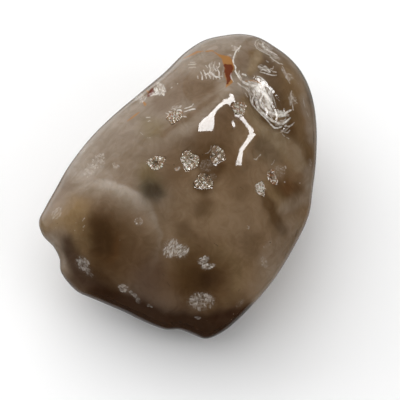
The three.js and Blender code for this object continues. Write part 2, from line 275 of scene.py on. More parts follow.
HOLLOWS = (
    Hollow(
        name="ring",
        side=1,
        at=(-7.5, 5.6),
        radius=1.8,
        depth=1.5,
        rust=0.25,
        pale=0.5,
        milk=(
            (-1.7, 0.4, 0.65), (-1.8, -0.6, 0.69), (-1.1, -1.4, 0.69), (-0.0, -1.7, 0.65),
            (1.0, -1.3, 0.6), (1.5, -0.3, 0.52), (1.0, 0.8, 0.56), (-1.3, 1.2, 0.52),
            (-0.3, 1.4, 0.39), (0.8, 1.6, 0.34),
        ),
        gaps=((-0.3, -0.1, 0.69),),
    ),
    Hollow(
        name="middle",
        side=1,
        at=(-0.4, 6.0),
        radius=2.0,
        depth=1.5,
        rust=0.2,
        pale=0.62,
        milk=(
            (-0.9, 1.5, 0.43), (1.4, 0.0, 0.6), (-1.5, 0.0, 0.56), (-1.0, -1.0, 0.65),
            (-0.6, -1.9, 0.47), (0.2, -1.3, 0.52), (-1.8, 0.8, 0.39), (1.3, 1.0, 0.32),
            (-0.2, -0.2, 0.32),
        ),
        gaps=((0.3, 0.7, 0.28),),
    ),
    Hollow(
        name="middle_right",
        side=1,
        at=(5.4, 7.2),
        radius=1.8,
        depth=1.5,
        rust=0.3,
        pale=0.2,
        milk=((0.3, 1.4, 0.56), (0.6, -0.2, 0.47), (-0.2, -1.1, 0.43), (-0.9, 0.1, 0.3), (1.1, 0.8, 0.28)),
        gaps=((-1.3, -0.3, 0.43),),
    ),
    Hollow(
        name="middle_low",
        side=1,
        at=(2.5, 1.6),
        radius=1.8,
        depth=1.4,
        rust=0.2,
        pale=0.34,
        milk=(
            (-1.4, 1.6, 0.39), (-1.7, 0.3, 0.39), (-0.1, 0.6, 0.39), (0.2, -0.2, 0.37),
            (-1.0, -0.5, 0.3), (0.3, -1.2, 0.3),
        ),
        gaps=((0.7, 1.2, 0.34),),
    ),
    Hollow(
        name="rusty",
        side=1,
        at=(17.2, 2.6),
        radius=1.6,
        depth=1.5,
        rust=0.95,
        pale=0.4,
        milk=(
            (-1.2, 0.2, 0.43), (-1.3, -0.6, 0.43), (-0.4, -1.1, 0.43), (0.9, -0.6, 0.39),
            (1.3, 0.2, 0.39), (0.2, 1.3, 0.32),
        ),
        gaps=((-0.2, 0.8, 0.37), (-0.1, -0.3, 0.32)),
    ),
    Hollow(
        name="rusty_low",
        side=1,
        at=(14.6, 0.1),
        radius=1.5,
        depth=1.3,
        rust=0.3,
        pale=0.6,
        milk=(
            (-0.6, 0.9, 0.47), (-0.1, 0.3, 0.56), (0.7, 0.4, 0.56), (-0.5, -0.5, 0.43),
            (0.4, -0.4, 0.43),
        ),
        gaps=((1.2, -0.3, 0.24),),
    ),
    Hollow(
        name="crest",
        side=1,
        at=(10.1, 17.2),
        radius=1.5,
        depth=1.3,
        rust=0.55,
        pale=0.55,
        milk=(
            (-0.4, 0.3, 0.52), (0.6, -0.3, 0.43), (-0.9, -0.7, 0.39), (0.6, 0.7, 0.34),
            (-0.2, -0.5, 0.34),
        ),
    ),
    Hollow(
        name="shoulder",
        side=1,
        at=(-3.7, 15.3),
        radius=1.9,
        depth=1.3,
        rust=0.6,
        pale=0.6,
        milk=((-0.5, 1.0, 0.65), (0.5, 0.7, 0.52), (1.0, 1.3, 0.43), (-1.2, 0.4, 0.43), (-0.3, 0.2, 0.43)),
        gaps=((0.4, -1.6, 0.22),),
    ),
    Hollow(
        name="back_upper",
        side=-1,
        at=(2, 20),
        radius=2.0,
        depth=1.5,
        rust=0.3,
        pale=0.4,
        milk=((-0.8, 0.9, 0.6), (0.9, -0.5, 0.6), (-0.3, -1.1, 0.4)),
    ),
    Hollow(
        name="back_lower",
        side=-1,
        at=(-12, -3),
        radius=1.8,
        depth=1.4,
        rust=0.2,
        pale=0.4,
        milk=((0.6, 0.8, 0.5), (-0.9, 0.1, 0.5), (0.3, -1.0, 0.5)),
        gaps=((0.1, 0.0, 0.25),),
    ),
)


@dataclass
class StoneForm:
    """The stone's skin as one formula of the direction from its middle.

    Attributes:
        half_sizes: Half its width, length and height, before it is worn.
        rest_cut: How much is worn off its underside.
        sharpness: How sharply the flats meet the rounded body.
        face: The side that is shown.
        ledges: The steps of the old bands.
    """

    half_sizes: tuple[float, float, float] = (26.0, 36.5, 20.0)
    rest_cut: float = 0.4
    sharpness: float = 9.0
    face: ShowFace = field(default_factory=ShowFace)
    ledges: Ledges = field(default_factory=Ledges)

    def __post_init__(self) -> None:
        """Work out the directions of the flats, and both rims."""
        self.axes = self.face.axes()
        self.flats = []
        for flat in FLATS:
            facing = np.array(flat.facing) @ self.axes
            self.flats.append((facing / np.linalg.norm(facing), flat.distance))
        self.outline_rim = self._outline_rim()
        self.body_rim = self._body_rim()

    @property
    def rest_level(self) -> float:
        """Return the height of the flat spot, from the middle of the body."""
        return self.rest_cut - self.half_sizes[2]

    def _outline_rim(self) -> Pair:
        """Draw the outline as a smooth closed curve through its points.

        Returns:
            Angles round the middle, in order, and the reach at each.
        """
        points = np.array(OUTLINE)
        pieces = 12
        share = (np.arange(pieces) / pieces)[:, None]
        parts = []
        for i in range(len(points)):
            before, here, after, beyond = (points[(i + k) % len(points)] for k in (-1, 0, 1, 2))
            leave, arrive = (after - before) / 2, (beyond - here) / 2
            cubic = 2 * here - 2 * after + leave + arrive
            square = 3 * after - 3 * here - 2 * leave - arrive
            parts.append(cubic * share**3 + square * share**2 + leave * share + here)
        curve = np.concatenate(parts)
        angle = np.arctan2(curve[:, 1], curve[:, 0])
        order = np.argsort(angle)
        return angle[order], np.hypot(curve[:, 0], curve[:, 1])[order]

    def _body_rim(self) -> Pair:
        """Find the worn body's own rim, seen from the show face.

        Returns:
            Angles round the middle, in order, and the reach at each.
        """
        angle = np.radians(np.arange(360) - 179.5)
        turn, lean = np.meshgrid(angle, np.radians(np.arange(-60, 60, 2)), indexing="ij")
        flat = np.cos(lean)
        seen = np.stack([np.cos(turn) * flat, np.sin(turn) * flat, np.sin(lean)], axis=-1)
        return angle, (self.body_radius(seen @ self.axes) * flat).max(axis=1)

    def body_radius(self, direction: np.ndarray) -> np.ndarray:
        """Work out the rounded body, worn on its flats.

        Args:
            direction: Directions from the middle, as rows.

        Returns:
            The body's radius in each direction.
        """
        worn = np.linalg.norm(direction / np.array(self.half_sizes), axis=-1) ** self.sharpness
        for facing, distance in self.flats:
            worn = worn + (np.maximum(direction @ facing, 0) / distance) ** self.sharpness
        return worn ** (-1 / self.sharpness)

    def seen(self, points: np.ndarray) -> tuple[np.ndarray, np.ndarray, np.ndarray]:
        """Return points' places across, up and out of the show face."""
        return points @ self.axes[0], points @ self.axes[1], points @ self.axes[2]

    def relief(self, points: np.ndarray) -> np.ndarray:
        """Add up the crests, dips, ledges, pits and waves.

        Args:
            points: Points on the body, as rows.

        Returns:
            How far each stands proud, or is sunk where that is negative.
        """
        across, up, out = self.seen(points)
        height = np.zeros(len(points))
        for swell in SWELLS + RIPPLES:
            reach = distance_to_line(across, up, swell.line) / swell.spread
            height += (out > 0) * swell.height * np.exp(-(reach**2))
        share = self.ledges.share(across, up)
        step = np.ceil(share * self.ledges.steps) / self.ledges.steps
        height -= np.where((out > 0) & (share > 0), self.ledges.depth * step, 0)
        for pit in PITS:
            share = away_from(across, up, pit.at) / pit.radius
            height -= np.where((pit.side * out > 0) & (share < 1), pit.depth * (1 - share**2) ** 2, 0)
        for wave in WAVES:
            along = np.array(wave.along) / np.linalg.norm(wave.along)
            height += wave.height * np.sin(2 * math.pi * (points @ along) / wave.length + wave.start)
        return height

    def skin(self, direction: np.ndarray) -> np.ndarray:
        """Stretch the body to the outline and add the relief, faded at the rim and underneath.

        Args:
            direction: Directions from the middle, as rows.

        Returns:
            The skin's point in each direction.
        """
        across, up, out = self.seen(direction * self.body_radius(direction)[:, None])
        angle = np.arctan2(up, across)
        body_reach = np.interp(angle, *self.body_rim, period=2 * math.pi)
        outline_reach = np.interp(angle, *self.outline_rim, period=2 * math.pi)
        share = np.minimum(np.hypot(across, up) / body_reach, 1)
        stretch = 1 + (outline_reach / body_reach - 1) * share**2
        points = np.stack([across * stretch, up * stretch, out], axis=1) @ self.axes
        fade = (1 - share**8) * (1 - np.maximum(-direction[:, 2], 0) ** 4)
        return points + direction * (self.relief(points) * fade)[:, None]


class Tone(Enum):
    """The colours that lie in the stone. The pale veil tone is also laid on as painted sheen where the rim
    and crest catch the light, and the darkest smoke tone as painted shade along the underside.
    """

    FAWN = (0.206, 0.155, 0.111)
    WARM = (0.204, 0.134, 0.075)
    BROWN = (0.124, 0.071, 0.034)
    UMBER = (0.075, 0.039, 0.0145)
    PLUM = (0.064, 0.033, 0.018)
    # The darkest smoke in the stone, also laid on as painted shade along the underside.
    SMOKE = (0.031, 0.0135, 0.0065)
    RUST = (0.150, 0.066, 0.023)
    OCHRE = (0.205, 0.135, 0.066)
    OLIVE = (0.150, 0.108, 0.050)
    SLATE = (0.052, 0.043, 0.030)
    # A pale milky veil in the stone, also laid on as painted sheen at the rim and crest.
    VEIL = (0.300, 0.248, 0.196)
    PALE = (0.375, 0.325, 0.275)
    SAND = (0.262, 0.198, 0.128)


class Lay(Enum):
    """How the fibres of a frosted patch lie."""

    FEATHER = "side by side"
    CROSSED = "in two sets across each other"


@dataclass(frozen=True)
class Cloud:
    """A soft patch or streak of one tone inside the stone; a few are painted sheen at the rim and crest,
    or painted shade along the underside.

    Attributes:
        tone: Its colour.
        line: Places (across, up, half width) along it.
        soft: How far its edge fades.
        strength: How strong it is in the middle, from 0 to 1.
        side: 1 on the show face and -1 on the back.
    """

    tone: Tone
    line: Stroke
    soft: float
    strength: float
    side: int = 1

    def share(self, across: np.ndarray, up: np.ndarray) -> np.ndarray:
        """Return how strong the cloud is at each place."""
        reach = np.maximum(distance_to_line(across, up, self.line), 0) / self.soft
        return self.strength * np.exp(-(reach**2))


@dataclass(frozen=True)
class Band:
    """One band of an eye: a disc, or a ring that may be sharper on one side than on the other.

    Attributes:
        tone: Its colour.
        radius: Where it is strongest, or 0 for a disc.
        inside: How far it fades towards the eye's middle.
        outside: How far it fades away from it.
        strength: How strong it is, from 0 to 1.
        towards: Degrees anticlockwise from across where it is strongest.
        spread: Degrees either side over which it fades, or 0 for a whole ring.
    """

    tone: Tone
    radius: float
    inside: float
    outside: float
    strength: float
    towards: float = 0.0
    spread: float = 0.0

    def share(self, radius: np.ndarray, angle: np.ndarray) -> np.ndarray:
        """Work out the band's strength.

        Args:
            radius: Places' distances from the eye's middle.
            angle: Their angles, in degrees.

        Returns:
            How strong the band is at each.
        """
        off = radius - self.radius
        steep = 2 if self.radius else 4
        share = np.exp(-((off / np.where(off < 0, self.inside, self.outside)) ** steep))
        if self.spread:
            turned = (angle - self.towards + 180) % 360 - 180
            share = share * np.exp(-((turned / self.spread) ** 2))
        return self.strength * share


@dataclass(frozen=True)
class Eye:
    """A banded eye: its middle, how long it is for its width, how it leans, and its bands."""

    at: Place
    length: float
    lean: float
    bands: tuple[Band, ...]
    side: int = 1

    def radius_at(self, across: np.ndarray, up: np.ndarray) -> Pair:
        """Return each place's radius from the middle, and its angle in degrees."""
        wide, long = turned(across, up, self.at, self.lean)
        angle = np.degrees(np.arctan2(up - self.at[1], across - self.at[0]))
        return np.hypot(wide, long / self.length), angle


@dataclass(frozen=True)
class Thread:
    """One fine line in the skin: a white fibre, a contour of an old band, a dark scratch, or a painted
    glint.

    Attributes:
        line: Places (across, up, half width) along it.
        bright: How white it is, from 0 to 1, or how dark if it is negative.
        side: 1 on the show face and -1 on the back.
    """

    line: Stroke
    bright: float
    side: int = 1


@dataclass(frozen=True)
class Frost:
    """A patch of fine white fibres, where the polish has opened the stone.

    Attributes:
        at: Its middle.
        reach: Half its size along the fibres, and across them.
        turn: Degrees anticlockwise that the fibres run at.
        strength: How white it is, from 0 to 1.
        count: How many fibres it has.
        length: The length of a fibre.
        lay: How they lie.
        side: 1 on the show face and -1 on the back.
    """

    at: Place
    reach: Place
    turn: float
    strength: float
    count: int
    length: float
    lay: Lay = Lay.FEATHER
    side: int = 1

    def haze(self, across: np.ndarray, up: np.ndarray) -> np.ndarray:
        """Return how milky the skin is between the fibres."""
        along, over = turned(across, up, self.at, self.turn)
        return self.strength * np.exp(-(np.hypot(along / self.reach[0], over / self.reach[1]) ** 4))

    def threads(self, rng: np.random.Generator) -> list[Thread]:
        """Lay out the patch's fibres, each a little curved and tapering to its ends.

        Args:
            rng: The chance in their places and shapes.

        Returns:
            One thread for each fibre.
        """
        fibres = []
        scatter = 11
        c, s = math.cos(math.radians(self.turn)), math.sin(math.radians(self.turn))
        for number in range(self.count):
            out, turn = math.sqrt(rng.uniform(0, 1)), rng.uniform(0, 2 * math.pi)
            along, over = out * math.cos(turn) * self.reach[0], out * math.sin(turn) * self.reach[1]
            middle = (self.at[0] + along * c - over * s, self.at[1] + along * s + over * c)
            crossed = self.lay is Lay.CROSSED and number % 2 == 1
            run = math.radians(self.turn + 90 * crossed + rng.normal(0, scatter))
            half = self.length * rng.uniform(0.25, 0.6) * (1.1 - 0.5 * out)
            bend = rng.uniform(-0.18, 0.18) * half
            width = rng.uniform(0.06, 0.15)
            ends = []
            for reach, wide in ((-half, 0.03), (-0.3 * half, width), (0.35 * half, width), (half, 0.02)):
                lift = bend * (1 - (reach / half) ** 2)
                across = middle[0] + reach * math.cos(run) - lift * math.sin(run)
                up = middle[1] + reach * math.sin(run) + lift * math.cos(run)
                ends.append((across, up, wide))
            fibres.append(Thread(tuple(ends), self.strength * rng.uniform(0.6, 1.15), self.side))
        return fibres


GROUNDS = (
    Cloud(Tone.WARM, (
        (15.1, 8.4, 4.31), (13.6, -2.4, 5.60), (8.6, -11.0, 5.60), (7.1, -20.7, 3.02),
    ), 5.6, 0.85),
    Cloud(Tone.WARM, ((2.8, 0.9, 3.45), (-0.4, -8.8, 2.58)), 5.2, 0.7),
    Cloud(Tone.WARM, ((22.4, 23.5, 1.72), (24.3, 12.7, 2.58), (23.3, -2.4, 3.02)), 3.0, 0.85),
    Cloud(Tone.WARM, ((-20.9, -5.6, 3.45), (-11.2, -11.0, 3.02)), 3.9, 0.7),
    Cloud(Tone.BROWN, ((22.8, 16.6, 1.29), (23.7, 6.2, 1.72), (20.7, -1.5, 1.51)), 2.8, 0.5),
    Cloud(Tone.BROWN, ((14.6, -2.4, 2.15), (10.3, 3.0, 1.72)), 4.3, 0.2),
    Cloud(Tone.PLUM, ((-14.2, -15.7, 1.08), (-9.0, -19.6, 2.15), (-3.0, -23.9, 1.72)), 3.0, 0.6),
    Cloud(Tone.PLUM, ((-12.3, -14.9, 1.29), (-6.9, -15.7, 1.72)), 3.0, 0.4),
    # Painted sheen: pale veil laid over the upper-left flank, the top and the right rim, where the polish
    # catches the light.
    Cloud(Tone.VEIL, ((-22.4, 5.2, 1.72), (-13.8, 13.1, 2.15), (-5.8, 20.2, 1.72)), 4.3, 0.12),
    Cloud(Tone.VEIL, ((1.7, 28.9, 1.72), (-4.3, 22.4, 1.29)), 3.9, 0.1),
    Cloud(Tone.VEIL, (
        (23.3, 26.5, 0.65), (26.5, 18.1, 0.86), (27.8, 8.4, 0.86), (26.9, -0.2, 0.65),
    ), 1.3, 0.3),
    Cloud(Tone.BROWN, ((15.1, 15.3, 0.86), (16.4, 13.6, 0.65)), 1.5, 0.5),
    Cloud(Tone.BROWN, ((22.8, 8.8, 1.08), (21.8, 2.4, 1.08), (21.3, -3.0, 0.86)), 1.9, 0.3),
    Cloud(Tone.UMBER, ((5.0, -24.8, 1.72), (9.5, -23.9, 1.08)), 2.4, 0.6),
    Cloud(Tone.BROWN, ((16.4, -12.7, 1.51), (19.0, -10.1, 1.08)), 2.6, 0.42),
    Cloud(Tone.PLUM, ((-5.8, -17.9, 1.72), (-9.0, -20.2, 1.51)), 2.6, 0.42),
    Cloud(Tone.WARM, ((-10.0, 12.0, 6.0), (4.0, 2.0, 9.0), (10.0, -14.0, 5.0)), 6.0, 0.75, side=-1),
    Cloud(Tone.BROWN, ((14.0, 16.0, 3.5), (18.0, 0.0, 3.0)), 4.5, 0.5, side=-1),
    Cloud(Tone.PLUM, ((-18.0, -12.0, 3.0), (-6.0, -20.0, 3.0)), 4.0, 0.5, side=-1),
)

EYES = (
    Eye((-18.9, -10.6), 1.65, 13, (
        Band(Tone.BROWN, 0.0, 0.2, 7.2, 0.72),
        Band(Tone.UMBER, 0.0, 0.2, 5.2, 0.5),
        Band(Tone.OCHRE, 4.6, 0.9, 1.1, 0.3, towards=200, spread=70),
        Band(Tone.UMBER, 0.0, 0.2, 3.9, 0.86),
        Band(Tone.SMOKE, 0.0, 0.2, 2.9, 0.4),
        Band(Tone.RUST, 3.1, 0.7, 0.5, 0.35, towards=-25, spread=50),
    )),
    Eye((-19.2, -10.6), 1, 0, (
        Band(Tone.VEIL, 12.1, 4.0, 0.45, 0.8, towards=72, spread=44),
        Band(Tone.PALE, 12.0, 1.7, 0.4, 0.6, towards=80, spread=30),
        Band(Tone.VEIL, 12.5, 1.0, 0.3, 0.4, towards=20, spread=34),
    )),
    Eye((2.6, -19.2), 0.95, 0, (
        Band(Tone.BROWN, 0.0, 0.2, 9.8, 0.62),
        Band(Tone.UMBER, 0.0, 0.2, 6.6, 0.86),
        Band(Tone.OLIVE, 7.2, 1.0, 1.2, 0.25, towards=10, spread=60),
        Band(Tone.SMOKE, 0.0, 0.2, 3.6, 0.4),
        Band(Tone.SMOKE, 0.0, 0.2, 1.7, 0.55),
        Band(Tone.BROWN, 4.9, 0.35, 0.5, 0.4, towards=10, spread=80),
    )),
    Eye((7.0, -9.0), 1.3, -30, (
        Band(Tone.BROWN, 0.0, 0.2, 7.0, 0.7),
        Band(Tone.UMBER, 0.0, 0.2, 4.2, 0.8),
        Band(Tone.SMOKE, 0.0, 0.2, 2.2, 0.5),
        Band(Tone.VEIL, 8.6, 1.8, 0.9, 0.55, towards=120, spread=80),
    ), side=-1),
)

CLOUDS = (
    # Painted sheen: pale veil along the top rim and the upper-left flank, where the polish catches the
    # light.
    Cloud(Tone.VEIL, ((2.8, 31.7, 0.65), (12.5, 31.9, 0.86)), 1.5, 0.55),
    Cloud(Tone.VEIL, (
        (-25.8, 5.2, 0.86), (-19.0, 13.6, 1.08), (-9.9, 20.9, 1.08), (-1.5, 27.4, 0.86),
    ), 1.9, 0.45),
    Cloud(Tone.VEIL, ((-1.1, 26.5, 0.86), (2.4, 27.8, 1.08)), 1.5, 0.4),
    Cloud(Tone.BROWN, ((-5.8, 19.2, 1.29), (-2.6, 21.8, 1.51), (2.8, 21.3, 1.08)), 1.9, 0.5),
    # Partly a pale band in the stone and partly painted sheen: a pale streak along the left crest, which
    # catches the light.
    Cloud(Tone.VEIL, (
        (11.0, 23.0, 0.65), (7.3, 20.9, 0.86), (6.0, 18.7, 1.08), (2.8, 16.4, 1.08),
        (-1.5, 13.1, 1.08), (-7.3, 9.9, 1.29),
    ), 1.3, 0.6),
    Cloud(Tone.BROWN, (
        (4.7, 19.6, 0.17), (0.9, 16.6, 0.17), (-3.0, 14.0, 0.22), (-6.2, 11.8, 0.30),
    ), 0.6, 0.6),
    Cloud(Tone.BROWN, ((7.8, 15.3, 1.08), (4.3, 11.0, 2.15), (6.5, 6.2, 1.72)), 2.4, 0.8),
    Cloud(Tone.BROWN, ((-4.7, 8.4, 1.08), (-3.7, 3.0, 1.29)), 2.6, 0.5),
    Cloud(Tone.OLIVE, ((-8.8, 13.1, 1.08),), 1.7, 0.65),
    Cloud(Tone.OLIVE, ((-9.5, 3.7, 0.65), (-8.6, 1.1, 1.08)), 1.5, 0.7),
    Cloud(Tone.SLATE, ((-8.4, -0.4, 1.08),), 1.7, 0.72),
    Cloud(Tone.SMOKE, ((-8.2, -0.2, 0.43),), 1.3, 0.35),
    Cloud(Tone.UMBER, (
        (1.5, 6.2, 0.65), (3.2, 5.6, 1.08), (4.7, 4.5, 1.08), (3.7, 2.8, 1.08), (2.4, 0.6, 0.86),
    ), 1.3, 0.8),
    Cloud(Tone.UMBER, ((0.0, 8.4, 0.86), (5.2, 8.0, 1.08)), 1.3, 0.45),
    Cloud(Tone.UMBER, ((2.6, -3.0, 0.43), (2.2, -4.3, 0.54)), 1.3, 0.65),
    Cloud(Tone.UMBER, ((-1.5, -9.3, 0.86), (0.0, -11.8, 1.29)), 1.3, 0.5),
    Cloud(Tone.UMBER, (
        (15.1, 27.4, 0.65), (17.2, 24.6, 1.29), (19.0, 21.3, 1.94), (19.4, 19.0, 1.72),
    ), 1.1, 0.62),
    Cloud(Tone.UMBER, (
        (12.9, 19.6, 0.32), (13.8, 16.6, 0.65), (15.9, 13.6, 0.86), (19.4, 11.8, 0.86),
        (21.5, 13.1, 1.08), (21.8, 15.7, 0.86),
    ), 1.0, 0.85),
    Cloud(Tone.OCHRE, (
        (12.5, 29.3, 0.22), (14.0, 28.4, 0.43), (14.2, 27.6, 0.43), (13.4, 26.3, 0.47),
        (12.7, 25.0, 0.30),
    ), 0.5, 0.7),
    Cloud(Tone.OCHRE, (
        (11.4, 19.2, 0.22), (12.1, 16.6, 0.26), (13.8, 13.6, 0.34), (15.9, 11.4, 0.47),
        (19.0, 9.9, 0.73), (20.2, 8.0, 0.95), (22.0, 5.0, 0.65),
    ), 0.9, 0.55),
    Cloud(Tone.UMBER, ((22.4, 11.8, 0.65), (23.0, 8.4, 1.29), (23.9, 5.4, 0.86)), 1.3, 0.75),
    Cloud(Tone.RUST, ((21.3, 9.3, 0.34), (21.8, 6.7, 0.43), (22.8, 4.1, 0.34)), 0.7, 0.5),
    Cloud(Tone.OCHRE, (
        (20.5, 22.2, 0.43), (22.0, 18.3, 0.65), (23.5, 13.1, 0.65), (24.6, 8.4, 0.43),
    ), 1.1, 0.35),
    Cloud(Tone.VEIL, ((23.9, 19.6, 0.34), (25.0, 15.3, 0.34), (25.8, 10.6, 0.30)), 0.6, 0.45),
    Cloud(Tone.SLATE, ((15.5, 8.8, 1.08), (17.2, 7.8, 1.29)), 1.7, 0.3),
    Cloud(Tone.UMBER, ((10.3, 4.1, 0.65), (9.9, -0.2, 0.86)), 1.9, 0.35),
    Cloud(Tone.OCHRE, ((16.2, 0.6, 0.43), (17.4, -0.9, 0.73), (19.2, -2.6, 0.65)), 1.0, 0.6),
    Cloud(Tone.VEIL, ((19.8, -3.7, 0.52), (21.5, -3.0, 0.65), (23.9, -2.4, 0.43)), 1.2, 0.4),
    Cloud(Tone.UMBER, (
        (14.9, -0.9, 0.26), (15.9, -3.2, 0.52), (17.9, -6.0, 0.43), (19.4, -8.8, 0.39),
    ), 0.8, 0.8),
    Cloud(Tone.UMBER, ((19.0, 0.2, 0.86), (21.1, -0.2, 1.08)), 1.3, 0.6),
    Cloud(Tone.RUST, ((20.5, 0.4, 0.32),), 1.3, 0.35),
    Cloud(Tone.VEIL, ((21.5, -7.1, 0.65), (18.1, -12.3, 0.86), (16.4, -16.2, 1.08)), 1.7, 0.2),
    Cloud(Tone.UMBER, ((11.8, -10.1, 0.43), (12.9, -13.1, 0.65)), 1.5, 0.3),
    Cloud(Tone.OCHRE, (
        (-31.4, -7.5, 0.43), (-28.9, -7.1, 0.65), (-26.3, -5.8, 0.65), (-25.0, -3.4, 0.65),
    ), 1.5, 0.6),
    Cloud(Tone.OCHRE, ((-24.1, -5.4, 0.65), (-25.0, -8.4, 0.65)), 1.1, 0.4),
    # Partly the stone's own dark smoke and partly painted shade: dark bands along the underside and the
    # lower left, which turn away from the light.
    Cloud(Tone.SMOKE, (
        (-20.2, -22.2, 0.43), (-15.9, -23.9, 1.51), (-11.2, -26.1, 1.51), (-6.2, -28.4, 1.29),
        (-0.4, -29.7, 1.94), (4.3, -29.9, 2.58), (8.6, -28.0, 1.51), (11.2, -26.1, 0.43),
    ), 1.7, 0.94),
    Cloud(Tone.SMOKE, (
        (-26.3, -11.6, 0.43), (-25.2, -14.4, 0.86), (-23.5, -17.4, 1.29), (-19.8, -20.0, 1.29),
        (-17.2, -21.8, 0.65),
    ), 1.5, 0.8),
    Cloud(Tone.UMBER, ((-19.8, -17.0, 0.86), (-15.9, -19.2, 0.86)), 1.7, 0.5),
    # Painted reflection: a grey-white sheen along the concave notch in the left rim.
    Cloud(Tone.VEIL, (
        (-30.6, -10.1, 0.22), (-29.1, -12.1, 0.43), (-28.0, -14.4, 0.43), (-27.6, -16.4, 0.22),
    ), 0.6, 0.5),
    Cloud(Tone.PLUM, ((-25.0, -20.0, 0.86), (-22.0, -22.6, 0.86)), 1.3, 0.6),
    Cloud(Tone.OCHRE, ((-23.3, -3.7, 0.86), (-24.6, -7.1, 1.29), (-23.3, -11.6, 0.86)), 1.5, 0.42),
    Cloud(Tone.BROWN, ((-12.5, -8.0, 1.51), (-11.6, -12.7, 1.51)), 2.2, 0.42),
    Cloud(Tone.OCHRE, ((6.5, -13.6, 1.29), (9.9, -17.0, 1.29), (10.3, -19.6, 0.86)), 1.7, 0.22),
    Cloud(Tone.OCHRE, ((-3.4, -15.7, 1.08), (-0.9, -12.3, 0.65)), 1.5, 0.2),
    Cloud(Tone.BROWN, (
        (21.3, 20.9, 0.65), (22.4, 17.0, 0.86), (24.1, 10.6, 1.08), (24.1, 4.1, 1.08),
    ), 1.3, 0.4),
    Cloud(Tone.OCHRE, ((20.2, 26.5, 0.43), (21.8, 23.0, 0.54), (23.0, 19.8, 0.43)), 0.9, 0.35),
    Cloud(Tone.SLATE, ((23.9, 26.1, 0.43), (25.2, 22.6, 0.43), (26.1, 19.2, 0.43)), 0.5, 0.4),
    Cloud(Tone.BROWN, ((11.4, 31.0, 0.65), (12.5, 29.5, 0.86), (10.3, 27.8, 0.86)), 1.3, 0.25),
    Cloud(Tone.SAND, (
        (11.6, 17.4, 0.26), (13.4, 14.4, 0.43), (15.3, 12.5, 0.56), (18.7, 10.6, 0.86),
        (21.5, 8.4, 0.97), (23.0, 5.0, 0.75),
    ), 1.0, 0.62),
    Cloud(Tone.UMBER, ((-1.3, -16.2, 1.29), (-0.4, -20.0, 1.08)), 1.9, 0.45),
    Cloud(Tone.SAND, ((14.0, 29.1, 0.47), (13.7, 27.6, 0.60), (12.9, 25.8, 0.34)), 0.5, 0.85),
    Cloud(Tone.VEIL, (
        (-24.0, 2.0, 0.8), (-14.0, 9.0, 1.2), (-3.0, 15.5, 1.0), (8.0, 26.0, 0.8),
    ), 1.8, 0.5, side=-1),
    Cloud(Tone.VEIL, ((-2.0, 4.0, 0.6), (5.0, 6.5, 0.9), (14.0, 7.0, 0.7)), 1.6, 0.4, side=-1),
    Cloud(Tone.OCHRE, ((16.0, 21.0, 0.7), (19.5, 12.0, 1.0), (21.0, 3.0, 0.7)), 1.3, 0.5, side=-1),
    Cloud(Tone.OLIVE, ((-5.0, -4.0, 1.2),), 1.9, 0.6, side=-1),
    Cloud(Tone.SLATE, ((-7.0, -6.0, 0.8),), 1.6, 0.7, side=-1),
    Cloud(Tone.UMBER, ((8.0, 17.0, 0.8), (12.0, 14.0, 1.2), (13.0, 10.0, 0.8)), 1.5, 0.6, side=-1),
    Cloud(Tone.SMOKE, (
        (-20.0, -22.0, 1.4), (-10.0, -26.0, 2.6), (1.0, -28.0, 3.4), (9.0, -26.0, 1.6),
    ), 2.2, 0.88, side=-1),
    Cloud(Tone.PALE, ((-23.7, 2.8, 0.43), (-20.9, 3.4, 0.75), (-18.1, 2.6, 0.54)), 1.3, 0.4),
    Cloud(Tone.VEIL, ((25.6, 4.1, 0.43), (25.4, -0.2, 0.43)), 1.1, 0.4),
    Cloud(Tone.UMBER, ((-3.0, -15.7, 0.65), (-3.4, -17.9, 0.65), (-2.2, -20.5, 0.65)), 1.3, 0.4),
    Cloud(Tone.BROWN, ((-29.3, -1.1, 0.65), (-27.6, 0.6, 0.65)), 1.3, 0.35),
)

AMBER_VEINS: tuple[Stroke, ...] = (
    (
        (-1.8, 28.3, 0.06), (-0.8, 28.7, 0.15), (0.2, 29.2, 0.22), (1.1, 29.6, 0.22),
        (1.9, 29.7, 0.13), (2.4, 29.8, 0.04),
    ),
    (
        (2.9, 29.7, 0.06), (3.6, 29.8, 0.17), (4.4, 29.9, 0.11), (5.0, 29.4, 0.06), (5.7, 28.9, 0.15),
        (6.7, 28.4, 0.47), (7.5, 27.7, 0.99), (7.9, 26.8, 1.06), (8.0, 26.1, 1.06), (7.8, 25.2, 0.78),
        (7.6, 24.3, 0.56), (7.9, 23.5, 0.58), (8.1, 23.0, 0.62), (7.7, 22.4, 0.34), (7.2, 21.7, 0.04),
    ),
    ((-13.9, 14.6, 0.04), (-12.8, 15.4, 0.17), (-12.0, 16.0, 0.15), (-11.3, 16.5, 0.04)),
    ((-10.3, 18.6, 0.22), (-10.1, 18.2, 0.26), (-10.4, 18.6, 0.09)),
    ((-9.8, 21.2, 0.19), (-9.4, 20.9, 0.17)),
    ((-3.2, 4.1, 0.17),),
    ((11.4, 23.1, 0.05), (12.9, 23.3, 0.13), (14.2, 23.0, 0.13), (15.2, 22.3, 0.05)),
)

RED_VEINS: tuple[Stroke, ...] = (
    (
        (7.2, 26.5, 0.42), (8.0, 26.0, 0.86), (7.8, 25.2, 0.84), (7.8, 24.3, 0.60),
        (7.9, 23.5, 0.46), (7.6, 22.6, 0.20),
    ),
    ((-8.6, 21.5, 0.30), (-8.7, 20.9, 0.50), (-9.3, 20.2, 0.32), (-9.6, 19.9, 0.04)),
)

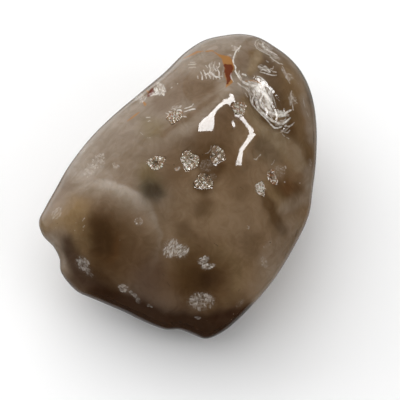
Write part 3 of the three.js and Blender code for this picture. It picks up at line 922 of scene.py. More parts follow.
THREADS = (
    Thread((
        (10.5, 30.9, 0.11), (10.1, 30.4, 0.17), (9.6, 29.9, 0.15), (9.3, 29.3, 0.13),
        (9.0, 28.4, 0.15), (8.8, 27.6, 0.15), (9.0, 26.8, 0.13), (9.4, 26.1, 0.13), (9.3, 25.3, 0.13),
        (9.8, 24.4, 0.15), (10.3, 23.6, 0.17), (10.9, 23.0, 0.19), (11.8, 22.6, 0.22),
    ), 0.8),
    Thread(((9.3, 30.7, 0.09), (9.9, 30.5, 0.11)), 0.6),
    Thread(((8.6, 30.0, 0.06), (9.3, 29.9, 0.11)), 0.5),
    Thread(((8.4, 24.9, 0.09), (8.3, 24.3, 0.13), (8.5, 23.6, 0.11), (8.9, 23.0, 0.06)), 0.55),
    Thread((
        (9.8, 22.7, 0.11), (10.5, 22.1, 0.13), (11.4, 21.7, 0.13), (11.9, 21.1, 0.11),
        (12.4, 20.4, 0.11), (12.6, 19.3, 0.11),
    ), 0.6),
    Thread(((10.2, 25.5, 0.06), (10.0, 24.7, 0.11), (10.6, 23.7, 0.09)), 0.6),
    # Painted glint: a short bright dash where the polish catches the light.
    Thread(((10.8, 24.7, 0.13), (11.4, 24.5, 0.17), (11.8, 24.1, 0.09)), 0.98),
    Thread((
        (11.0, 22.8, 0.17), (11.8, 22.5, 0.24), (12.8, 22.3, 0.26), (13.8, 22.0, 0.28),
        (14.4, 21.2, 0.28), (14.3, 20.1, 0.24), (13.9, 19.1, 0.26), (13.8, 18.3, 0.24),
        (14.3, 17.2, 0.24), (15.2, 16.3, 0.24), (16.1, 15.5, 0.22), (17.0, 14.7, 0.22),
        (18.2, 14.2, 0.22), (19.4, 14.0, 0.26), (20.2, 14.5, 0.19), (21.1, 15.3, 0.13),
    ), 0.88),
    Thread((
        (12.4, 22.4, 0.13), (13.1, 21.7, 0.15), (13.4, 20.8, 0.17), (13.3, 19.9, 0.15),
        (12.9, 19.0, 0.17), (13.0, 18.0, 0.17), (13.9, 17.0, 0.15), (14.9, 16.0, 0.15),
        (16.0, 14.9, 0.13), (16.9, 13.8, 0.15), (17.7, 13.1, 0.17), (18.5, 13.1, 0.17),
        (19.2, 13.4, 0.15),
    ), 0.78),
    Thread((
        (15.1, 22.5, 0.19), (15.5, 21.5, 0.22), (15.2, 20.2, 0.19), (14.7, 19.2, 0.19),
        (14.7, 18.2, 0.19), (15.3, 17.3, 0.22), (16.4, 16.6, 0.28), (17.6, 16.2, 0.32),
        (18.8, 15.7, 0.34), (19.8, 15.9, 0.32), (20.4, 16.5, 0.24), (21.3, 17.0, 0.13),
    ), 0.92),
    Thread((
        (15.3, 21.8, 0.22), (15.7, 20.7, 0.37), (16.1, 19.6, 0.47), (16.2, 18.5, 0.47),
        (16.5, 17.5, 0.39), (17.1, 16.9, 0.22),
    ), 0.95),
    Thread(((14.3, 22.5, 0.22), (14.6, 21.8, 0.26), (15.1, 21.0, 0.17)), 0.8),
    Thread((
        (13.9, 24.3, 0.06), (14.6, 24.1, 0.09), (15.4, 23.5, 0.11), (16.1, 22.7, 0.11),
        (16.5, 21.7, 0.11), (17.1, 20.6, 0.11), (17.5, 19.6, 0.09), (17.8, 18.5, 0.09),
        (18.1, 17.5, 0.06),
    ), 0.6),
    Thread((
        (15.0, 23.5, 0.09), (15.6, 22.7, 0.11), (16.1, 21.8, 0.11), (16.7, 20.5, 0.15),
        (17.1, 19.6, 0.13), (17.1, 18.5, 0.13), (17.4, 17.4, 0.13),
    ), 0.6),
    Thread((
        (11.7, 21.8, 0.06), (12.3, 21.2, 0.09), (12.6, 20.2, 0.09), (12.5, 19.2, 0.11),
        (12.7, 18.4, 0.09),
    ), 0.6),
    Thread(((11.4, 20.6, 0.06), (11.9, 19.7, 0.09)), 0.4),
    Thread(((13.4, 21.9, 0.11), (13.9, 21.2, 0.13), (14.0, 20.4, 0.11)), 0.7),
    Thread(((16.4, 16.5, 0.09), (16.8, 15.7, 0.11), (17.3, 14.8, 0.11)), 0.6),
    Thread(((18.4, 17.1, 0.09), (18.7, 16.5, 0.13)), 0.8),
    Thread(((19.7, 17.1, 0.06), (19.6, 16.4, 0.13)), 0.8),
    Thread(((19.9, 13.6, 0.11), (20.8, 13.4, 0.15), (21.5, 13.8, 0.13), (22.0, 14.3, 0.06)), 0.62),
    Thread(((18.9, 14.6, 0.09), (19.6, 14.6, 0.13), (20.2, 15.2, 0.09)), 0.5),
    Thread(((19.1, 12.6, 0.09), (19.9, 12.2, 0.11), (20.5, 12.1, 0.13), (21.0, 12.6, 0.09)), 0.55),
    Thread(((19.3, 11.9, 0.06), (19.9, 11.3, 0.09)), 0.4),
    Thread(((20.3, 11.1, 0.06), (20.8, 10.8, 0.09)), 0.4),
    Thread(((14.0, 17.6, 0.06), (14.8, 16.7, 0.09), (15.9, 15.6, 0.06)), 0.45),
    Thread((
        (14.4, 26.4, 0.06), (15.2, 26.1, 0.11), (15.7, 26.5, 0.11), (16.3, 25.8, 0.17),
        (16.8, 25.2, 0.13),
    ), 0.75),
    Thread(((14.8, 25.5, 0.09), (15.3, 25.8, 0.13), (15.8, 25.5, 0.13), (16.6, 25.1, 0.11)), 0.65),
    Thread((
        (14.6, 25.2, 0.09), (15.5, 25.0, 0.09), (16.5, 24.7, 0.11), (17.3, 24.5, 0.11),
        (18.2, 24.5, 0.09),
    ), 0.65),
    Thread(((16.7, 25.8, 0.06), (17.5, 25.3, 0.11), (18.2, 25.2, 0.09)), 0.6),
    Thread(((16.9, 26.0, 0.06), (17.4, 25.9, 0.09), (17.6, 26.5, 0.06)), 0.55),
    Thread(((16.0, 27.7, 0.06), (16.4, 27.4, 0.09)), 0.5),
    Thread((
        (14.4, 32.5, 0.06), (13.8, 32.1, 0.09), (13.6, 31.3, 0.09), (14.0, 30.5, 0.11),
        (14.9, 29.9, 0.11), (16.1, 29.3, 0.11), (17.0, 28.9, 0.09),
    ), 0.5),
    Thread((
        (14.6, 32.1, 0.06), (14.1, 31.4, 0.09), (14.3, 30.6, 0.09), (15.3, 30.0, 0.11),
        (16.3, 29.5, 0.09),
    ), 0.4),
    Thread((
        (15.3, 31.6, 0.17), (15.4, 30.9, 0.28), (15.9, 30.4, 0.26), (16.8, 29.9, 0.19),
        (17.7, 29.4, 0.15), (18.5, 29.0, 0.06),
    ), 0.75),
    Thread(((15.8, 31.1, 0.11), (16.5, 30.6, 0.11), (17.2, 29.9, 0.09)), 0.5),
    Thread((
        (16.9, 28.6, 0.11), (17.5, 28.0, 0.15), (18.2, 27.6, 0.13), (18.7, 27.2, 0.11),
        (19.6, 27.0, 0.09),
    ), 0.55),
    Thread(((17.2, 28.6, 0.06), (18.1, 28.2, 0.06)), 0.4),
    Thread((
        (19.5, 26.6, 0.04), (19.9, 25.8, 0.06), (20.1, 25.1, 0.11), (20.3, 24.5, 0.13),
        (20.6, 23.7, 0.13), (21.1, 22.8, 0.06),
    ), 0.5),
    Thread(((20.3, 25.0, 0.06), (21.0, 24.9, 0.09), (21.5, 24.6, 0.04)), 0.42),
    Thread(((20.6, 24.3, 0.06), (21.1, 23.9, 0.06)), 0.4),
    Thread((
        (21.5, 21.2, 0.06), (21.2, 20.4, 0.11), (21.6, 19.7, 0.17), (21.3, 19.0, 0.11),
        (21.6, 18.1, 0.11), (21.8, 17.0, 0.09),
    ), 0.55),
    Thread(((21.8, 19.6, 0.06), (22.1, 19.0, 0.09), (22.7, 18.5, 0.06)), 0.45),
    Thread(((24.0, 19.6, 0.06), (24.2, 18.5, 0.09), (24.4, 17.7, 0.06)), 0.3),
    Thread(((24.7, 16.8, 0.06), (25.2, 15.7, 0.06)), 0.25),
    Thread(((1.2, 24.2, 0.13), (1.3, 23.7, 0.11)), 0.4),
    Thread(((1.9, 25.1, 0.09), (2.2, 24.3, 0.13), (2.2, 23.5, 0.15)), 0.68),
    Thread(((2.5, 25.5, 0.11), (2.8, 24.8, 0.13), (3.1, 23.7, 0.11)), 0.68),
    Thread(((3.0, 26.5, 0.09), (3.3, 26.1, 0.09)), 0.5),
    Thread(((3.7, 26.6, 0.11), (4.0, 25.8, 0.13), (3.8, 25.0, 0.17), (4.1, 24.6, 0.13)), 0.8),
    Thread(((2.8, 24.4, 0.11), (3.4, 24.8, 0.13), (3.8, 24.2, 0.13), (4.0, 23.7, 0.09)), 0.7),
    Thread(((4.6, 26.7, 0.09), (4.7, 26.1, 0.11), (5.2, 25.4, 0.11)), 0.68),
    Thread(((4.1, 25.0, 0.13), (4.6, 24.5, 0.19), (5.0, 24.1, 0.15), (5.8, 24.0, 0.13)), 0.82),
    Thread((
        (5.9, 27.1, 0.09), (5.9, 26.4, 0.11), (5.4, 25.9, 0.13), (5.8, 25.1, 0.13), (5.8, 24.3, 0.13),
        (6.0, 23.6, 0.09),
    ), 0.75),
    Thread(((4.6, 24.2, 0.09), (4.6, 23.6, 0.11)), 0.55),
    Thread(((5.3, 24.0, 0.09), (5.2, 23.6, 0.09)), 0.5),
    Thread(((5.9, 24.2, 0.09), (6.6, 24.2, 0.09)), 0.5),
    Thread(((6.5, 25.6, 0.04), (6.6, 23.8, 0.05)), 0.3),
    Thread(((6.8, 26.5, 0.04), (6.8, 25.2, 0.05)), 0.3),
    Thread(((-0.4, 27.3, 0.09), (0.6, 27.3, 0.09)), 0.3),
    Thread(((-0.8, 26.8, 0.09), (0.8, 26.9, 0.09)), 0.42),
    Thread(((-0.7, 26.1, 0.09), (0.8, 26.2, 0.09)), 0.32),
    Thread(((-1.6, 17.1, 0.06), (-0.9, 17.3, 0.13), (0.0, 17.7, 0.09), (0.3, 18.1, 0.04)), 0.7),
    Thread(((-1.7, 16.4, 0.06), (-0.6, 16.8, 0.11), (0.2, 17.0, 0.13), (0.7, 17.0, 0.09)), 0.75),
    Thread(((-5.6, 16.2, 0.09), (-4.8, 15.9, 0.11)), 0.65),
    Thread(((-4.2, 17.2, 0.06), (-3.7, 17.1, 0.09)), 0.4),
    Thread(((-3.2, 16.5, 0.11), (-3.0, 16.8, 0.13), (-2.4, 16.8, 0.13), (-2.2, 16.4, 0.11)), 0.8),
    Thread(((-3.1, 15.9, 0.13), (-2.5, 15.9, 0.17), (-2.1, 15.6, 0.09)), 0.8),
    Thread(((-4.8, 16.5, 0.13), (-4.0, 16.0, 0.39), (-3.6, 15.5, 0.34)), 0.85),
    Thread(((-1.7, 15.4, 0.11), (-1.2, 15.3, 0.09)), 0.6),
    Thread(((-9.8, 15.3, 0.09), (-9.0, 15.3, 0.13)), 0.42),
    Thread(((-9.4, 14.4, 0.06), (-9.1, 14.6, 0.09), (-8.7, 14.5, 0.06)), 0.3),
    Thread(((-11.0, 12.1, 0.04), (-10.5, 11.6, 0.06)), 0.3),
    Thread(((-9.5, 10.9, 0.04), (-8.8, 10.9, 0.06)), 0.25),
    Thread(((-4.5, 21.7, 0.11), (-4.3, 21.9, 0.09)), 0.4),
    Thread(((-3.1, 22.6, 0.13),), 0.42),
    Thread(((4.1, 9.1, 0.04), (4.0, 8.3, 0.05), (3.5, 7.7, 0.06), (2.9, 7.5, 0.04)), 0.35),
    Thread(((13.1, 6.4, 0.06), (13.7, 6.3, 0.13), (14.1, 6.8, 0.06), (14.6, 7.3, 0.09)), 0.5),
    Thread(((17.6, 6.2, 0.04), (17.4, 5.6, 0.05), (17.0, 5.2, 0.04)), 0.35),
    Thread(((-3.0, 4.1, 0.09), (-2.7, 4.4, 0.09)), 0.5),
    Thread(((19.0, 4.3, 0.11),), 0.7),
    Thread(((20.0, 4.8, 0.15), (20.1, 4.5, 0.13)), 0.75),
    Thread(((19.8, 1.5, 0.13),), 0.55),
    Thread(((23.2, 1.3, 0.11),), 0.35),
    Thread(((-23.2, -6.8, 0.06), (-22.8, -6.2, 0.09)), 0.3),
    Thread(((-23.1, -8.1, 0.09), (-22.8, -7.8, 0.09)), 0.3),
    Thread(((-24.9, -8.8, 0.09),), 0.25),
    Thread(((-11.7, -7.3, 0.17),), 0.75),
    Thread(((-12.1, -7.0, 0.06), (-11.9, -6.4, 0.09)), 0.4),
    Thread(((-11.0, -6.1, 0.06), (-10.5, -6.6, 0.09), (-10.5, -7.2, 0.09), (-10.9, -7.5, 0.06)), 0.35),
    Thread(((11.7, -7.8, 0.04), (12.1, -8.0, 0.05), (12.1, -8.5, 0.06), (11.7, -8.4, 0.04)), 0.35),
    Thread(((4.7, -11.5, 0.06), (5.5, -12.1, 0.09)), -0.5),
    Thread(((-5.3, -19.8, 0.06), (-4.7, -20.7, 0.09)), -0.6),
    Thread(((-6.2, -18.1, 0.09), (-5.9, -18.5, 0.09)), -0.45),
    Thread(((8.5, 12.8, 0.06), (8.9, 13.2, 0.09)), -0.5),
    Thread(((-3.8, 5.1, 0.11),), -0.8),
    Thread(((10.3, 0.4, 0.06), (10.9, -0.1, 0.06)), -0.4),
    Thread(((16.7, -11.4, 0.13),), -0.7),
    Thread(((9.9, -21.8, 0.06), (10.3, -21.2, 0.06)), -0.4),
    Thread(((22.6, -8.8, 0.13), (22.2, -10.1, 0.13)), -0.4),
    Thread(((26.4, 12.5, 0.09), (26.4, 10.1, 0.11)), -0.6),
    Thread(((-7.0, 17.6, 0.04), (-3.0, 19.4, 0.12), (1.0, 20.0, 0.10), (4.5, 22.0, 0.05)), 0.6, side=-1),
    Thread(((-6.0, 16.4, 0.04), (-2.5, 18.0, 0.10), (1.5, 18.8, 0.12), (5.0, 20.6, 0.05)), 0.5, side=-1),
    Thread(((-4.0, 15.6, 0.04), (-0.5, 16.8, 0.09), (3.0, 17.4, 0.05)), 0.4, side=-1),
    Thread(((12.0, -2.0, 0.04), (14.5, 0.5, 0.09), (15.5, 4.0, 0.05)), 0.4, side=-1),
    Thread(((-16.0, 4.0, 0.05), (-14.8, 5.6, 0.08)), -0.4, side=-1),
)

FROSTS = (
    Frost((-4.4, -12.6), (1.9, 1.6), 72, 0.72, 46, 1.4),
    Frost((-2.2, -13.2), (1.5, 1.3), 42, 0.74, 34, 1.2),
    Frost((2.3, -15.3), (1.0, 0.7), 15, 0.8, 12, 1.0),
    Frost((3.3, -16.5), (1.2, 0.6), 5, 0.85, 18, 0.9),
    Frost((3.1, -14.8), (0.7, 0.6), 100, 0.6, 10, 0.9),
    Frost((4.7, -16.2), (0.4, 0.3), 140, 0.45, 4, 0.6),
    Frost((2.0, -23.9), (2.6, 1.8), 0, 0.5, 70, 1.4, Lay.CROSSED),
    Frost((1.2, -27.5), (0.6, 0.3), 0, 0.3, 8, 0.6),
    Frost((-23.2, -16.0), (1.7, 1.2), 125, 0.42, 40, 1.1),
    Frost((-22.0, -17.7), (1.3, 0.6), 130, 0.22, 12, 0.9),
    Frost((-14.6, -21.2), (1.0, 0.8), 155, 0.42, 26, 1.0),
    Frost((-12.5, -22.5), (1.0, 0.4), 145, 0.34, 14, 0.8),
    Frost((-11.6, -23.7), (0.9, 0.5), 120, 0.26, 10, 0.6),
    Frost((-9.0, -24.9), (0.6, 0.3), 165, 0.3, 6, 0.6),
    Frost((-28.9, -5.2), (1.4, 0.9), 50, 0.24, 40, 0.9),
    Frost((-11.3, -7.0), (0.9, 0.9), 90, 0.2, 14, 0.6, Lay.CROSSED),
    Frost((-6.9, 21.5), (1.4, 1.2), 110, 0.82, 60, 1.3),
    Frost((-8.2, 20.5), (1.0, 0.4), 10, 0.7, 14, 0.9),
    Frost((-11.3, 19.8), (1.3, 0.7), 35, 0.36, 12, 0.6),
    Frost((-11.3, 19.8), (0.9, 1.4), 62, 0.5, 22, 1.2),
    Frost((-20.0, 5.8), (1.9, 1.3), 60, 0.3, 44, 0.9, Lay.CROSSED),
    Frost((-21.8, 4.1), (1.7, 1.1), 60, 0.2, 26, 0.9, Lay.CROSSED),
    Frost((-16.2, 5.0), (0.8, 0.6), 140, 0.36, 12, 0.7, Lay.CROSSED),
    Frost((-23.3, 8.8), (1.5, 0.6), 50, 0.22, 22, 0.9),
    Frost((21.2, 24.3), (0.9, 0.6), 150, 0.32, 14, 0.6),
    Frost((21.6, 19.4), (0.8, 1.3), 20, 0.34, 20, 0.6),
    Frost((16.5, 30.5), (1.4, 0.8), 35, 0.3, 22, 0.8),
    Frost((18.1, 28.2), (1.1, 0.6), 10, 0.22, 14, 0.8),
    Frost((25.5, 5.8), (0.8, 0.4), 110, 0.2, 8, 0.6),
    Frost((15.5, -15.7), (1.3, 0.7), 115, 0.18, 18, 0.6, Lay.CROSSED),
    Frost((16.2, -11.8), (1.1, 0.4), 40, 0.12, 8, 0.6, Lay.CROSSED),
    Frost((10.3, -24.3), (1.3, 0.6), 60, 0.1, 10, 0.6, Lay.CROSSED),
    Frost((13.4, 20.9), (1.9, 1.3), -60, 0.62, 44, 1.3),
    Frost((14.6, 18.5), (1.7, 0.9), -58, 0.6, 26, 1.3),
    Frost((16.2, 19.6), (1.9, 1.0), -78, 0.85, 44, 1.3),
    Frost((13.8, 22.6), (1.7, 0.5), -12, 0.55, 26, 0.9),
    Frost((19.0, 16.2), (1.7, 0.6), -8, 0.8, 30, 1.2),
    Frost((16.8, 16.4), (1.3, 0.5), -45, 0.6, 18, 1.1),
    Frost((19.2, 14.2), (1.5, 0.5), 12, 0.5, 20, 1.0),
    Frost((19.8, 12.7), (0.9, 0.3), 25, 0.4, 9, 0.8),
    Frost((21.3, 19.4), (1.3, 0.4), 82, 0.42, 16, 0.8),
    Frost((20.2, 24.8), (1.5, 0.4), -58, 0.36, 16, 1.0),
    Frost((15.9, 30.8), (1.7, 0.9), -42, 0.5, 30, 1.2),
    Frost((17.7, 29.1), (1.5, 0.4), -40, 0.36, 14, 1.1),
    Frost((15.3, 26.1), (1.1, 0.6), -20, 0.45, 16, 0.9),
    Frost((12.9, 23.0), (0.6, 0.3), 10, 0.5, 8, 0.6),
    Frost((9.5, 30.4), (0.4, 1.1), 60, 0.4, 14, 0.7),
    Frost((8.8, 28.6), (0.3, 1.1), 85, 0.3, 10, 0.6),
    Frost((4.3, 25.6), (1.9, 0.9), 80, 0.42, 30, 0.9),
    Frost((3.2, 5.0), (1.5, 1.3), 20, 0.16, 40, 0.35, Lay.CROSSED),
    Frost((4.3, 2.4), (0.9, 0.9), 60, 0.13, 16, 0.35, Lay.CROSSED),
    Frost((18.5, 3.7), (1.5, 1.3), 30, 0.2, 26, 0.4, Lay.CROSSED),
    Frost((-3.0, 4.3), (0.6, 0.4), 20, 0.5, 8, 0.5),
    Frost((-3.4, 17.4), (1.3, 0.4), 12, 0.4, 10, 0.9),
    Frost((6.0, 14.0), (2.2, 1.8), 40, 0.6, 60, 1.3, side=-1),
    Frost((-9.0, 11.0), (1.8, 1.5), 100, 0.55, 44, 1.2, Lay.CROSSED, side=-1),
    Frost((-16.0, -12.0), (2.0, 1.6), 130, 0.5, 50, 1.2, side=-1),
    Frost((3.0, -18.0), (1.4, 0.9), 20, 0.4, 24, 0.9, Lay.CROSSED, side=-1),
)


def smooth_step(value: np.ndarray, low: float, high: float) -> np.ndarray:
    """Return 0 below low and 1 above high, with a smooth rise between them."""
    share = np.clip((value - low) / (high - low), 0, 1)
    return share * share * (3 - 2 * share)


@dataclass(frozen=True)
class FacetRules:
    """Where the facets are split, so that small features keep their shape.

    Attributes:
        ledges: Once where the ledges' share is above this.
        narrow: A crest or dip whose spread is under this counts as narrow.
        crest: Once within this distance of a narrow crest's line.
        thread: Once within this distance of a thread.
        fibre: Twice within this distance of a thread.
        vein: Twice within this distance of a pale vein.
        rim: Within this many radii of a dent's middle, once in a pit and twice in a hollow.
    """

    ledges: float = -0.1
    narrow: float = 2.0
    crest: float = 1.2
    thread: float = 0.25
    fibre: float = 0.10
    vein: float = 0.5
    rim: float = 1.1


@dataclass
class Markings:
    """Where each colour, vein and fibre lies on the stone, as fields over its skin.

    Attributes:
        form: The stone's skin.
        facets: Where the facets are split.
        wander: How far edges stray, in broad waves and in fine ones.
        fade: The facing at which a side's marks start to show, and are full.
        shown: The facing above which veins and threads are drawn.
        vein_limit: The distance given where no vein is near.
        thread_limit: The distance given where no thread is near.
        margin: How far round a thread it is looked for.
    """

    form: StoneForm
    facets: FacetRules = field(default_factory=FacetRules)
    wander: tuple[float, float] = (0.22, 0.14)
    fade: tuple[float, float] = (-0.35, 0.1)
    shown: float = 0.1
    vein_limit: float = 5.0
    thread_limit: float = 2.0
    margin: float = 0.8

    def __post_init__(self) -> None:
        """Lay out every thread: those drawn one by one, and the fibres of the frosted patches."""
        rng = np.random.default_rng(7)
        self.threads = list(THREADS)
        for frost in FROSTS:
            self.threads += frost.threads(rng)

    def _wander(self, across: np.ndarray, up: np.ndarray) -> Pair:
        """Move places a little, so that no edge keeps to its line exactly.

        Args:
            across: Places, across.
            up: Places, up.

        Returns:
            The moved places, across and up.
        """
        broad, fine = self.wander
        sway = broad * np.sin(0.8 * up + 0.9 * np.sin(0.45 * across)) + fine * np.sin(2.1 * up + across)
        lift = broad * np.sin(0.75 * across + 0.9 * np.sin(0.5 * up)) + fine * np.sin(1.9 * across - up)
        return across + sway, up + lift

    def _facing(self, normals: np.ndarray, side: int) -> np.ndarray:
        """Return 1 where the skin faces that side, fading to 0 round the rim."""
        return smooth_step(side * (normals @ self.form.axes[2]), *self.fade)

    def tint(self, points: np.ndarray, normals: np.ndarray) -> np.ndarray:
        """Lay every cloud and eye over the stone's own colour, in turn, painted sheen and painted shade
        among them.

        Args:
            points: Points on the skin, from the body's middle.
            normals: The way it faces there.

        Returns:
            One colour for each point, as rows.
        """
        across, up = self._wander(*self.form.seen(points)[:2])
        facing = {side: self._facing(normals, side) for side in (1, -1)}
        colour = np.tile(Tone.FAWN.value, (len(points), 1))

        def lay_over(tone: Tone, share: np.ndarray) -> None:
            """Mix one tone over the colour so far."""
            colour[:] += share[:, None] * (np.array(tone.value) - colour)

        for cloud in GROUNDS:
            lay_over(cloud.tone, cloud.share(across, up) * facing[cloud.side])
        for eye in EYES:
            radius, angle = eye.radius_at(across, up)
            for band in eye.bands:
                lay_over(band.tone, band.share(radius, angle) * facing[eye.side])
        for cloud in CLOUDS:
            lay_over(cloud.tone, cloud.share(across, up) * facing[cloud.side])
        return colour

    def veins(self, points: np.ndarray, normals: np.ndarray, lines: tuple[Stroke, ...]) -> np.ndarray:
        """Measure how far the skin is from a set of veins.

        Args:
            points: Points on the skin, from the body's middle.
            normals: The way it faces there.
            lines: The veins.

        Returns:
            The distance to the nearest vein, negative inside it.
        """
        across, up, _ = self.form.seen(points)
        nearest = np.full(len(points), self.vein_limit)
        for line in lines:
            nearest = np.minimum(nearest, distance_to_line(across, up, line))
        return np.where(self._facing(normals, 1) > self.shown, nearest, self.vein_limit)

    def haze(self, points: np.ndarray, normals: np.ndarray) -> np.ndarray:
        """Add up the haze of the frosted patches.

        Args:
            points: Points on the skin, from the body's middle.
            normals: The way it faces there.

        Returns:
            How milky the skin is at each point, from 0 to 1.
        """
        across, up, _ = self.form.seen(points)
        clear = np.ones(len(points))
        for frost in FROSTS:
            clear *= 1 - frost.haze(across, up) * self._facing(normals, frost.side)
        return 1 - clear

    def drawn(self, points: np.ndarray, normals: np.ndarray) -> Pair:
        """Find the thread that is nearest to each point.

        Args:
            points: Points on the skin, from the body's middle.
            normals: The way it faces there.

        Returns:
            The distance to that thread, negative inside it, and how bright it is.
        """
        across, up, _ = self.form.seen(points)
        nearest, bright = np.full(len(points), self.thread_limit), np.zeros(len(points))
        order = np.argsort(across)
        across, up = across[order], up[order]
        facing = {side: self._facing(normals[order], side) > self.shown for side in (1, -1)}
        for thread in self.threads:
            line = np.array(thread.line)
            low, high = line.min(axis=0) - self.margin, line.max(axis=0) + self.margin
            first, last = np.searchsorted(across, (low[0], high[0]))
            part = slice(first, last)
            close = (up[part] > low[1]) & (up[part] < high[1])
            chosen = np.flatnonzero(close & facing[thread.side][part]) + first
            reach = distance_to_line(across[chosen], up[chosen], thread.line)
            closer = reach < nearest[order[chosen]]
            nearest[order[chosen[closer]]] = reach[closer]
            bright[order[chosen[closer]]] = thread.bright
        return nearest, bright

    def fineness(self, points: np.ndarray, normals: np.ndarray) -> np.ndarray:
        """Work out where small features need finer facets.

        Args:
            points: Points on the skin, from the body's middle.
            normals: The way it faces there.

        Returns:
            How many times the facets at each point are split: 0, 1 or 2.
        """
        across, up, out = self.form.seen(points)
        splits = np.zeros(len(points), int)
        splits[(out > 0) & (self.form.ledges.share(across, up) > self.facets.ledges)] = 1
        for swell in SWELLS:
            if swell.spread < self.facets.narrow:
                splits[(out > 0) & (distance_to_line(across, up, swell.line) < self.facets.crest)] = 1
        nearest = self.drawn(points, normals)[0]
        splits[nearest < self.facets.thread] = 1
        splits[nearest < self.facets.fibre] = 2
        splits[self.veins(points, normals, AMBER_VEINS) < self.facets.vein] = 2
        for dents, times in ((PITS, 1), (HOLLOWS, 2)):
            for dent in dents:
                inside = away_from(across, up, dent.at) < self.facets.rim * dent.radius
                near = inside & (dent.side * out > 0)
                splits[near] = np.maximum(splits[near], times)
        return splits


def deselect_all() -> None:
    """Deselect every object, so that an operator acts on nothing by chance."""
    if bpy.context.object and bpy.context.object.mode != "OBJECT":
        bpy.ops.object.mode_set(mode="OBJECT")
    bpy.ops.object.select_all(action="DESELECT")


def activate(piece: bpy.types.Object) -> None:
    """Make this the only selected object, and the active one."""
    deselect_all()
    piece.select_set(True)
    bpy.context.view_layer.objects.active = piece


def select_faces(piece: bpy.types.Object, chosen: np.ndarray) -> None:
    """Start to edit a piece, with only some of its faces selected.

    Args:
        piece: The piece.
        chosen: True for each face that is to be selected.
    """
    activate(piece)
    bpy.ops.object.mode_set(mode="EDIT")
    bpy.ops.mesh.select_mode(type="FACE")
    bpy.ops.mesh.select_all(action="DESELECT")
    bpy.ops.object.mode_set(mode="OBJECT")
    piece.data.polygons.foreach_set("select", chosen)
    bpy.ops.object.mode_set(mode="EDIT")


def finish_in_triangles() -> None:
    """Turn every face of the piece that is being edited into triangles, and stop editing."""
    bpy.ops.mesh.select_all(action="SELECT")
    bpy.ops.mesh.quads_convert_to_tris()
    bpy.ops.object.mode_set(mode="OBJECT")


def read_points(mesh: bpy.types.Mesh) -> np.ndarray:
    """Return a mesh's corners as rows."""
    flat = np.empty(len(mesh.vertices) * 3)
    mesh.vertices.foreach_get("co", flat)
    return flat.reshape(-1, 3)


def read_normals(mesh: bpy.types.Mesh) -> np.ndarray:
    """Return the way the skin faces at each corner, as rows."""
    flat = np.empty(len(mesh.vertices) * 3)
    mesh.vertex_normals.foreach_get("vector", flat)
    return flat.reshape(-1, 3)


def write_points(mesh: bpy.types.Mesh, points: np.ndarray) -> None:
    """Move a mesh's corners to these rows."""
    mesh.vertices.foreach_set("co", points.ravel())
    mesh.update()


def write_field(mesh: bpy.types.Mesh, name: str, values: np.ndarray) -> None:
    """Store a field on a mesh's corners.

    Args:
        mesh: The mesh.
        name: What the field is called.
        values: One number for each corner, or a row of three.
    """
    if values.ndim == 1:
        mesh.attributes.new(name, "FLOAT", "POINT").data.foreach_set("value", values)
    else:
        mesh.attributes.new(name, "FLOAT_VECTOR", "POINT").data.foreach_set("vector", values.ravel())


@dataclass
class Socle:
    """Where one hollow sits in the skin: its middle, the way it faces, and how lumpy its wall is."""

    hollow: Hollow
    middle: np.ndarray
    facing: np.ndarray
    across: np.ndarray
    seed: int

    def frame(self) -> np.ndarray:
        """Work out the hollow's own directions.

        Returns:
            Across and up along the skin, and out of it, as rows.
        """
        first = self.across - (self.across @ self.facing) * self.facing
        first /= np.linalg.norm(first)
        return np.array([first, np.cross(self.facing, first), self.facing])

    def share(self, points: np.ndarray) -> np.ndarray:
        """Return each point's distance from the middle, as a share of the lumpy wall's radius."""
        local = (points - self.middle) @ self.frame().T
        return np.linalg.norm(local, axis=1) / self.reach(np.arctan2(local[:, 1], local[:, 0]))

    def reach(self, turn: np.ndarray) -> np.ndarray:
        """Return how far out the lumpy wall stands, all the way round."""
        lump = 0.10 * np.sin(3 * turn + self.seed) + 0.08 * np.cos(2 * turn + 2 * self.seed)
        return self.hollow.radius * (1 + lump + 0.05 * np.sin(5 * turn - self.seed))


